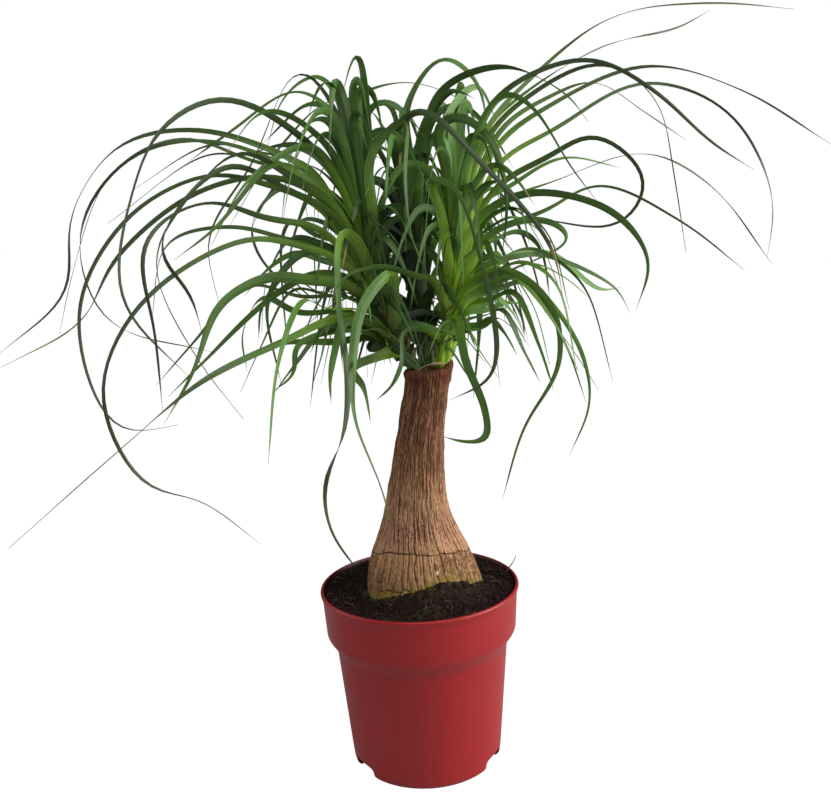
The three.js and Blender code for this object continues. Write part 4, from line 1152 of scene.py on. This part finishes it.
def drawn_points(draw, shoot):
    """One more leaf: it rises to a crest, then falls outwards and swerves a little."""
    middle, half = shoot["sector"]
    top = shoot["path"][-1]
    azimuth = math.radians(middle + half * (2 * draw.next() - 1))
    swerve = math.radians(between(-SWERVE, SWERVE, draw.next()))
    youth = draw.next()
    room = between(1, DRAWN["rear_room"], max(0, math.sin(azimuth)))
    reach = room * between(*shoot["reach"], draw.next()) * between(1, DRAWN["young_reach"], youth)
    crest = between(*DRAWN["crest"], youth)
    fall = between(*DRAWN["fall"], draw.next())
    drop = fall + room * between(*DRAWN["drop"], draw.next())
    far = between(*DRAWN["spread"], draw.next())
    profile = np.array([(0.55, crest - 0.12 * reach), (1, crest), (between(1, far, 0.62), crest - fall),
                        (far, max(crest - drop, LOWEST_TIP))])
    angle = azimuth + swerve * np.arange(4) / 3
    flat = profile[:, :1] * reach * np.column_stack([np.cos(angle), np.sin(angle)])
    return np.column_stack([flat + top[:2], profile[:, 1]])


def samples(points):
    """Points along a midrib, about SAMPLE_STEP apart."""
    chords = np.diff(catmull_rom(points, np.linspace(0, 1, 201)), axis=0)
    count = math.ceil(np.linalg.norm(chords, axis=1).sum() / SAMPLE_STEP)
    return catmull_rom(points, np.arange(count + 1) / count)


def is_clear(path, others, distance):
    """Whether every point of the path is further than the distance from all the other paths."""
    if not others or not len(path):
        return True
    cloud = np.concatenate(others)
    gaps = ((path[:, None] - cloud[None]) ** 2).sum(axis=-1)
    return bool((gaps > distance**2).all())


def grow_leaves():
    """Every leaf of every shoot, with the same draws and the same clearances as the solids."""
    draw = Draws(LEAF_SEED)
    grown = {name: [] for name in SHOOTS}
    skip = CROWDED // SAMPLE_STEP

    def keep(name, points, width, path, facing, most_roll):
        roll = math.radians(between(-most_roll, most_roll, draw.next()))
        twist = math.radians(between(-TWIST, TWIST, draw.next()))
        grown[name].append({"points": points, "width": width, "roll": roll, "twist": twist, "path": path,
                            "facing": facing})

    for name, shoot in SHOOTS.items():
        stem = stem_points(shoot)
        for width, *points in shoot["leaves"]:
            curve = midrib(stem, points, len(grown[name]))
            keep(name, curve, width, samples(curve), FACING, GIVEN_ROLL)
    for name, shoot in SHOOTS.items():
        stem = stem_points(shoot)
        wanted = shoot["drawn"]
        while wanted > 0:
            curve = midrib(stem, drawn_points(draw, shoot), len(grown[name]))
            width = between(*DRAWN["width"], draw.next())
            path = samples(curve)
            from_axis = np.hypot(path[:, 0], path[:, 1])
            trunk_free = (path[:, 2] > COLUMN_HEIGHT) | (from_axis > COLUMN_RADIUS)
            far = [leaf["path"] for other in SHOOTS if other != name for leaf in grown[other]]
            own = [leaf["path"][skip:] for leaf in grown[name]]
            if not trunk_free.all() or not is_clear(path, far, CLEARANCE):
                continue
            if not is_clear(path[skip:], own, OWN_CLEARANCE):
                continue
            keep(name, curve, width, path, 0, DRAWN_ROLL)
            wanted -= 1
    return grown


def inner_leaves(name, seed):
    """The leaves in the heart of a shoot, in every direction, drawn evenly from the ranges of
    INNER_LEAVES."""
    rng = np.random.default_rng(seed)
    stem = stem_points(SHOOTS[name])
    leaves = []
    for full_count, crests, reaches, widths, falls in INNER_LEAVES:
        count = round(full_count * SHOOT_LOOKS[name]["fullness"])
        crest, reach, width, fall = (rng.uniform(*span, count) for span in (crests, reaches, widths, falls))
        azimuth = rng.uniform(0, TURN, count)
        roll, twist = rng.uniform(-0.9, 0.9, count), rng.uniform(-1.0, 1.0, count)
        for k in range(count):
            profile = np.array([(0.55, crest[k] - 0.15 * reach[k]), (1, crest[k]),
                                (1.5, crest[k] - 0.4 * fall[k]), (1.9, crest[k] - fall[k])])
            ahead = np.array([math.cos(azimuth[k]), math.sin(azimuth[k])])
            flat = stem[-1, :2] + profile[:, :1] * reach[k] * ahead
            points = np.column_stack([flat, np.maximum(profile[:, 1], LOWEST_INNER_TIP)])
            leaves.append({"points": midrib(stem, points, k), "width": width[k], "roll": roll[k],
                           "twist": twist[k], "facing": 0.5})
    return leaves


def stub_leaves(name, seed):
    """Remains of old leaves round the foot of a stem, in a spiral: each rises, leans out and curls."""
    rng = np.random.default_rng(seed)
    stem = stem_points(SHOOTS[name])
    leaves = []
    for k in range(STUBS):
        share = 0.02 + 0.5 * k / STUBS
        azimuth = k * TURN * GOLDEN
        size, curl = rng.uniform(*STUB_SIZES), rng.uniform(-0.2, 0.9)
        ahead = np.array([math.cos(azimuth), math.sin(azimuth)])
        out = np.interp(share, *STEM_RADII.T) - 1.5 + size * np.array([0, 0.05, 0.2, 0.55])
        rise = size * np.array([-0.2, 0.4, 0.85, 1.1 - curl])
        root = catmull_rom(stem, [share])[0]
        flat = root[:2] + out[:, None] * ahead
        points = np.column_stack([flat, np.maximum(root[2] + rise, TRUNK_TOP + 1.5)])
        leaves.append({"points": points, "width": rng.uniform(2.5, 5.5), "roll": rng.uniform(-0.4, 0.4),
                       "twist": rng.uniform(-0.8, 0.8), "facing": 0})
    if name == "shoot_right":
        leaves.append({"points": PAPERY_REMNANT, "width": 5.5, "roll": 0.3, "twist": 0.5, "facing": 0,
                       "dryness": 1.0})
    return leaves


def leaf_line(leaf, stations):
    """Places evenly along the midrib, each one's parameter on the curve, and the whole length."""
    fine = np.linspace(0, 1, 321)
    chords = np.linalg.norm(np.diff(catmull_rom(leaf["points"], fine), axis=0), axis=1)
    length = np.concatenate([[0], np.cumsum(chords)])
    t = np.interp(np.linspace(0, length[-1], stations), length, fine)
    return catmull_rom(leaf["points"], t), t, length[-1]


def blade_directions(leaves, centre, share, length, long, rng):
    """Unit directions across each blade and up from its face, at every station.

    The direction across starts level, is kept square to the midrib from place to place, and turns about
    it by the leaf's facing, roll and twist and by a slow wave."""
    count, stations = centre.shape[:2]
    ahead = unit(np.gradient(centre, axis=1))
    heading = np.array([leaf["points"][2] - leaf["points"][0] for leaf in leaves])
    side = unit(np.column_stack([-heading[:, 1], heading[:, 0], np.zeros(count)]))
    sides = np.empty_like(centre)
    for i in range(stations):
        side = unit(side - (side * ahead[:, i]).sum(axis=-1, keepdims=True) * ahead[:, i])
        sides[:, i] = side
    flat = np.cross((0, 1, 0), ahead)
    facing = np.arctan2((ahead * np.cross(sides, flat)).sum(axis=-1), (sides * flat).sum(axis=-1))
    facing -= math.pi * np.round(facing[:, :1] / math.pi)
    facing = np.unwrap(facing, period=math.pi, axis=1)
    turned, roll, twist = (np.array([leaf[key] for leaf in leaves])[:, None]
                           for key in ("facing", "roll", "twist"))
    turned = turned * (1 - 0.7 * blend_in(0.45, 0.9, share) * long)
    wave = rng.uniform(0.5, 1.6, (count, 1))
    wave = wave * np.sin(rng.random((count, 1)) * TURN + length * share / WAVE_LENGTH)
    wave = wave * blend_in(0.3, 0.65, share) * between(0.25, 1, long)
    turn = (turned * facing + roll * np.minimum(1, share / ROLLED_BY) + twist * share**2 + wave)[..., None]
    across = sides * np.cos(turn) + np.cross(ahead, sides) * np.sin(turn)
    return across, np.cross(ahead, across)


def blade_widths(leaves, share, along, long, clasp):
    """Width of each blade along its midrib: widest a little way up, then narrowing as 1 - share^power to
    a thread. Long blades are slimmer from early on, short ones only near the tip, and the foot widens
    where it clasps the stem."""
    width = np.array([leaf["width"] for leaf in leaves])[:, None]
    swell, swell_share = FOOT_SWELL
    foot = between(swell, 1, np.minimum(1, share / swell_share))
    slim_long, slim_short = (by * blend_in(low, high, share)
                             for by, low, high in (LONG_SLIMMING, SHORT_SLIMMING))
    slim = (1 - slim_long * long) * (1 - slim_short * (1 - long))
    taper = 1 - share ** between(*TAPER, long)
    full = TIP_WIDTH + (between(*WIDENING, long) * width - TIP_WIDTH) * foot * slim * taper
    return full * (1 + 0.75 * clasp) * (1 - 0.8 * blend_in(0.9, 1.0, along))


def leaf_marks(shape, **given):
    """The leaf material's marks at every point: the given values, and 0 for the others."""
    return {key: given.get(key, 0.0) * np.ones(shape) for key in ("along", "tone", "dry", "under", "outer")}


def blade_surfaces(leaves, stations, thickness, seed):
    """All blades of a shoot in one array: a thin, channelled section carried along each midrib.

    The midribs are smoothed by averaging neighbours. Across the blade, u runs from one edge at 1 to the
    other at -1 on the upper face and back on the lower one. The section rises from the midrib to its
    edges by gutter * |u|^1.3 and thins towards them, and its edges ripple faintly."""
    rng = np.random.default_rng(seed)
    lines = [leaf_line(leaf, stations) for leaf in leaves]
    centre, share = (np.array([line[k] for line in lines]) for k in range(2))
    length = np.array([line[2] for line in lines])[:, None]
    count = len(leaves)
    for _ in range(5):
        centre[:, 2:-1] = (centre[:, 1:-2] + 2 * centre[:, 2:-1] + centre[:, 3:]) / 4
    along = np.linspace(0, 1, stations)[None]
    long = blend_in(*LONG_LEAF, length)
    clasp = bell(along * length, CLASP_LENGTH)
    across, up = blade_directions(leaves, centre, share, length, long, rng)
    half = blade_widths(leaves, share, along, long, clasp) / 2
    least, clasped, chance, tip = GUTTER
    gutter = least + clasped * clasp + chance * rng.random((count, 1)) + tip * blend_in(0.6, 1, along)
    thick = between(thickness, 0.6 * thickness, along) / MM
    u = np.linspace(1, -1, BLADE_POINTS)
    u = np.concatenate([u, u[::-1]])
    face = np.repeat([1.0, -1.0], BLADE_POINTS)
    far, size = along[..., None], length[..., None]
    ripple = 0.05 * np.sin(far * size / 11 + rng.random((count, 1, 1)) * TURN + 1.3 * u)
    rise = gutter[..., None] * np.abs(u) ** 1.3 + ripple * u
    wall = thick[..., None] / 2 * face * (1 - 0.72 * u**2)
    points = (
        centre[:, :, None]
        + across[:, :, None] * (half[..., None] * u)[..., None]
        + up[:, :, None] * (half[..., None] * rise + wall)[..., None]
    )
    tone = np.clip(rng.normal(0.5, 0.42, (count, 1, 1)), 0, 1)
    dry_from = np.where(rng.random((count, 1, 1)) < 0.12, rng.uniform(0.86, 0.97, (count, 1, 1)), 0.985)
    dryness = np.array([leaf.get("dryness", 0.0) for leaf in leaves])[:, None, None]
    dry = np.maximum(blend_in(0, 1, (far - dry_from) / 0.03) * 0.85, dryness)
    shape = points.shape[:3]
    marks = leaf_marks(shape, along=far, tone=tone, dry=dry, under=face < 0, outer=(along * long)[..., None])
    veins = far * size / 20 + rng.random((count, 1, 1)) * 40
    uv = np.stack([np.broadcast_to((u + 1) / 2, shape), np.broadcast_to(veins, shape)], axis=-1)
    return points, section_faces(*shape), marks, uv


def stem_surface(shoot, along):
    """The stem: level circles whose radius follows the stem's table up its curve, ridged by the edges of
    the leaf bases that wind up it. It takes the colours of a leaf from `along` onwards, further along
    towards its top and in the creases between the ridges."""
    share = np.linspace(0, 1, STEM_RINGS)[:, None]
    angle = np.arange(STEM_COLUMNS)[None] * TURN / STEM_COLUMNS
    wound = np.sin(3 * angle + 9 * share)
    ridged = 1 + 0.2 * np.abs(wound) - 0.1 * np.abs(np.sin(2.5 * angle - 14 * share))
    radius = np.interp(share, *STEM_RADII.T) * ridged
    circle = np.stack([np.cos(angle), np.sin(angle), 0 * angle], axis=-1)
    points = (catmull_rom(stem_points(shoot), share[:, 0])[:, None] + circle * radius[..., None])[None]
    shape = points.shape[:3]
    marks = leaf_marks(shape, along=along + 0.25 * share + 0.3 * bell(wound, 0.3), tone=0.25)
    uv = np.stack([np.broadcast_to(angle / TURN * 4 % 1, shape), np.broadcast_to(share * 5, shape)], axis=-1)
    return points, section_faces(*shape), marks, uv


# ---- settings ------------------------------------------------------------------------------------------
COLOUR = {"subtype": "COLOR", "size": 3, "min": 0, "max": 1}
FACTOR = {"subtype": "FACTOR", "min": 0, "max": 1}


class PalmPotSettings(bpy.types.PropertyGroup):
    colour: FloatVectorProperty(
        name="Plastic", description="Colour of the plastic", default=paint(156, 23, 26)[:3], **COLOUR)
    roughness: FloatProperty(name="Roughness", description="How matt the plastic is", default=0.42, **FACTOR)
    columns: IntProperty(name="Columns", description="Faces round the pot", min=24, default=240)


class PalmTrunkSettings(bpy.types.PropertyGroup):
    columns: IntProperty(name="Columns", description="Faces round the trunk", min=60, default=460)
    fissure_depth: FloatProperty(
        name="Fissures", description="Depth of the upright fissures", unit="LENGTH", default=0.0010)
    ring_depth: FloatProperty(
        name="Ring crack", description="Depth of the crack round the base", unit="LENGTH", default=0.0016)
    grain: FloatProperty(
        name="Grain", description="Height of the finest grain", unit="LENGTH", default=0.0006)


class PalmSoilSettings(bpy.types.PropertyGroup):
    columns: IntProperty(name="Columns", description="Faces round the soil", min=60, default=420)
    rows: IntProperty(name="Rows", description="Faces from the pot's wall to the trunk", min=10, default=64)
    colour: FloatVectorProperty(
        name="Mix", description="Colour of the damp mix", default=paint(22, 13, 13)[:3], **COLOUR)
    crumbs: IntProperty(name="Crumbs", description="Loose crumbs on the soil", min=0, default=2600)
    fibres: IntProperty(name="Fibres", description="Pale fibres in the soil", min=0, default=46)


class PalmLeafSettings(bpy.types.PropertyGroup):
    stations: IntProperty(name="Stations", description="Sections along a leaf", min=12, default=54)
    thickness: FloatProperty(
        name="Thickness", description="Thickness of a blade at its foot", unit="LENGTH", default=0.0007)
    roughness: FloatProperty(name="Roughness", description="How matt the blades are", default=0.44, **FACTOR)
    shade: FloatProperty(
        name="Shade", description="How dark the heart of the crown is", default=0.9, **FACTOR)
    foot_green: FloatVectorProperty(
        name="Foot", description="Colour at the foot of a leaf", default=paint(166, 204, 40)[:3], **COLOUR)
    light_green: FloatVectorProperty(
        name="Light green", description="Light colour of the blades", default=paint(122, 178, 40)[:3],
        **COLOUR)
    dark_green: FloatVectorProperty(
        name="Dark green", description="Dark colour of the blades", default=paint(26, 64, 8)[:3], **COLOUR)


class PalmStageSettings(bpy.types.PropertyGroup):
    lens: FloatProperty(
        name="Lens", description="Focal length of the camera in millimetres", default=41.16)
    key_power: FloatProperty(
        name="Key light", description="Power of the large light on the right", unit="POWER", default=80.0)
    fill_power: FloatProperty(
        name="Fill light", description="Power of the large light on the left", unit="POWER", default=14.0)
    top_power: FloatProperty(
        name="Top light", description="Power of the light above the camera", unit="POWER", default=22.0)
    surround: FloatProperty(
        name="Surround", description="Brightness of the light from all round", min=0, default=0.15)


SETTINGS = {
    "palm_pot": PalmPotSettings, "palm_trunk": PalmTrunkSettings, "palm_soil": PalmSoilSettings,
    "palm_leaf": PalmLeafSettings, "palm_stage": PalmStageSettings,
}


# ---- operators -----------------------------------------------------------------------------------------
class PALM_OT_pot(bpy.types.Operator):
    """Build the pot: a rounded profile turned round the axis, notched and drilled at its foot"""

    bl_idname = "palm.pot"
    bl_label = "Pot"

    def execute(self, context):
        settings = context.scene.palm_pot
        skin = turned_skin(rounded(POT_CORNERS, POT_ROUNDING), settings.columns)
        mesh = cut_away(make_mesh("nursery_pot", *skin), *notch_cutters())
        finish_piece(mesh, pot_plastic(settings), "pot")
        return {"FINISHED"}


class PALM_OT_trunk(bpy.types.Operator):
    """Build the trunk: its outline with fissures, plates, the ring crack and the corky top"""

    bl_idname = "palm.trunk"
    bl_label = "Trunk"

    def execute(self, context):
        settings = context.scene.palm_trunk
        mesh = make_mesh("fissured_trunk", *trunk_surface(settings))
        finish_piece(mesh, bark(settings), "trunk")
        return {"FINISHED"}


class PALM_OT_soil(bpy.types.Operator):
    """Build the soil: the crumbly surface, loose crumbs, pale fibres and a straw at the rim"""

    bl_idname = "palm.soil"
    bl_label = "Soil"

    def execute(self, context):
        settings = context.scene.palm_soil
        surface = make_mesh("potting_soil", *soil_surface(settings))
        finish_piece(surface, potting_mix("Potting mix", settings, 0.0008), "soil")
        loose = make_mesh("soil_crumbs", *crumbs(settings))
        finish_piece(loose, potting_mix("Crumbs", settings, 0.0004))
        finish_piece(make_mesh("soil_fibres", *fibres(settings)), dry_fibre())
        return {"FINISHED"}


class PALM_OT_shoots(bpy.types.Operator):
    """Build the three leafy shoots: their stems and every strap leaf"""

    bl_idname = "palm.shoots"
    bl_label = "Shoots"

    def execute(self, context):
        settings = context.scene.palm_leaf
        thickness, grown = settings.thickness, grow_leaves()
        for name, look in SHOOT_LOOKS.items():
            seed = look["seed"]
            leaves = grown[name] + inner_leaves(name, seed + INNER_SEED)
            blades = blade_surfaces(leaves, settings.stations, thickness, seed)
            leaves = stub_leaves(name, seed + STUB_SEED)
            stubs = blade_surfaces(leaves, STUB_STATIONS, thickness, seed + STUB_BLADE_SEED)
            stubs[2]["dry"] = np.maximum(stubs[2]["dry"], look["stub_dryness"])
            stubs[2]["along"] = np.maximum(stubs[2]["along"], look["stem_share"])
            stem = stem_surface(SHOOTS[name], look["stem_share"])
            mesh = make_mesh(f"{name}_leaves", *joined([blades, stubs, stem]))
            mesh.set_sharp_from_angle(angle=math.radians(SHARP_BLADE))
            skin = leaf_skin(f"Leaf {look['slot'][5:]}", look["lime"], look["light"], settings)
            finish_piece(mesh, skin, name)
        return {"FINISHED"}


class PALM_OT_stage(bpy.types.Operator):
    """Build the stage: the pale floor, soft studio lights, the surround and the camera"""

    bl_idname = "palm.stage"
    bl_label = "Stage"

    def execute(self, context):
        settings = context.scene.palm_stage
        self.floor()
        self.surround(context.scene, settings)
        for name, (place, size, power) in LIGHTS.items():
            self.light(name, place, size, getattr(settings, power))
        self.camera(context.scene, settings)
        context.scene.view_settings.view_transform = "Standard"
        return {"FINISHED"}

    def floor(self):
        """A wide disc: rings whose radius grows by a constant factor, closed at its middle."""
        radius = FLOOR_RADIUS * FLOOR_GROWTH ** np.arange(FLOOR_RINGS) / MM
        points, faces = turned_skin(np.column_stack([radius[::-1], 0 * radius]), 64)
        mesh = make_mesh("pale_floor", points, [faces[0], faces[2]])
        mesh.materials.append(floor_paper())
        floor = add_object("pale_floor", mesh)

    def surround(self, scene, settings):
        """White to the camera, and dimmer as a light, so that the lights still model the plant."""
        world = bpy.data.worlds.new("Studio")
        world.use_nodes = True
        tree = world.node_tree
        tree.nodes.clear()
        seen = put(tree, "ShaderNodeBackground", {"Color": WHITE, "Strength": 1.0})
        lit = put(tree, "ShaderNodeBackground", {"Color": WHITE, "Strength": settings.surround})
        ray = put(tree, "ShaderNodeLightPath").outputs["Is Camera Ray"]
        mix = put(tree, "ShaderNodeMixShader", {0: ray, 1: lit.outputs[0], 2: seen.outputs[0]})
        put(tree, "ShaderNodeOutputWorld", {"Surface": mix.outputs[0]})
        scene.world = world

    def light(self, name, place, size, power):
        """A square soft light that faces the plant's middle."""
        data = bpy.data.lights.new(name, "AREA")
        data.size, data.energy = size, power
        ahead = unit(np.array(LIT_POINT) - np.array(place))
        right = unit(np.cross(ahead, (0, 0, 1)))
        add_object(name, data).matrix_world = placed((right, np.cross(right, ahead), -ahead), place)

    def camera(self, scene, settings):
        """The camera at the viewing angle."""
        data = bpy.data.cameras.new("camera")
        data.lens, data.sensor_width = settings.lens, 36.0
        data.clip_start, data.clip_end = 0.05, 200.0
        scene.camera = add_object("camera", data)
        scene.camera.matrix_world = placed(CAMERA_AXES, CAMERA_PLACE)


def placed(axes, place):
    """A placing matrix from the right, up and back axes and a place."""
    columns = (*axes, place)
    return Matrix([[column[row] for column in columns] for row in range(3)] + [[0, 0, 0, 1]])


class PALM_PT_panel(bpy.types.Panel):
    """Lists the plant's pieces and their settings"""

    bl_idname = "PALM_PT_panel"
    bl_label = "Ponytail palm"
    bl_space_type = "VIEW_3D"
    bl_region_type = "UI"
    bl_category = "Palm"

    def draw(self, context):
        for operator, (name, group) in zip(BUILDERS, SETTINGS.items()):
            box = self.layout.box()
            box.operator(operator.bl_idname)
            for key in group.__annotations__:
                box.prop(getattr(context.scene, name), key)


BUILDERS = (PALM_OT_pot, PALM_OT_trunk, PALM_OT_soil, PALM_OT_shoots, PALM_OT_stage)
CLASSES = (*SETTINGS.values(), *BUILDERS, PALM_PT_panel)


def register():
    for cls in CLASSES:
        bpy.utils.register_class(cls)
    for name, group in SETTINGS.items():
        setattr(bpy.types.Scene, name, bpy.props.PointerProperty(type=group))


def unregister():
    for name in SETTINGS:
        delattr(bpy.types.Scene, name)
    for cls in reversed(CLASSES):
        bpy.utils.unregister_class(cls)


def main():
    register()
    bpy.ops.palm.pot()
    bpy.ops.palm.trunk()
    bpy.ops.palm.soil()
    bpy.ops.palm.shoots()
    bpy.ops.palm.stage()


if __name__ == "__main__":
    main()
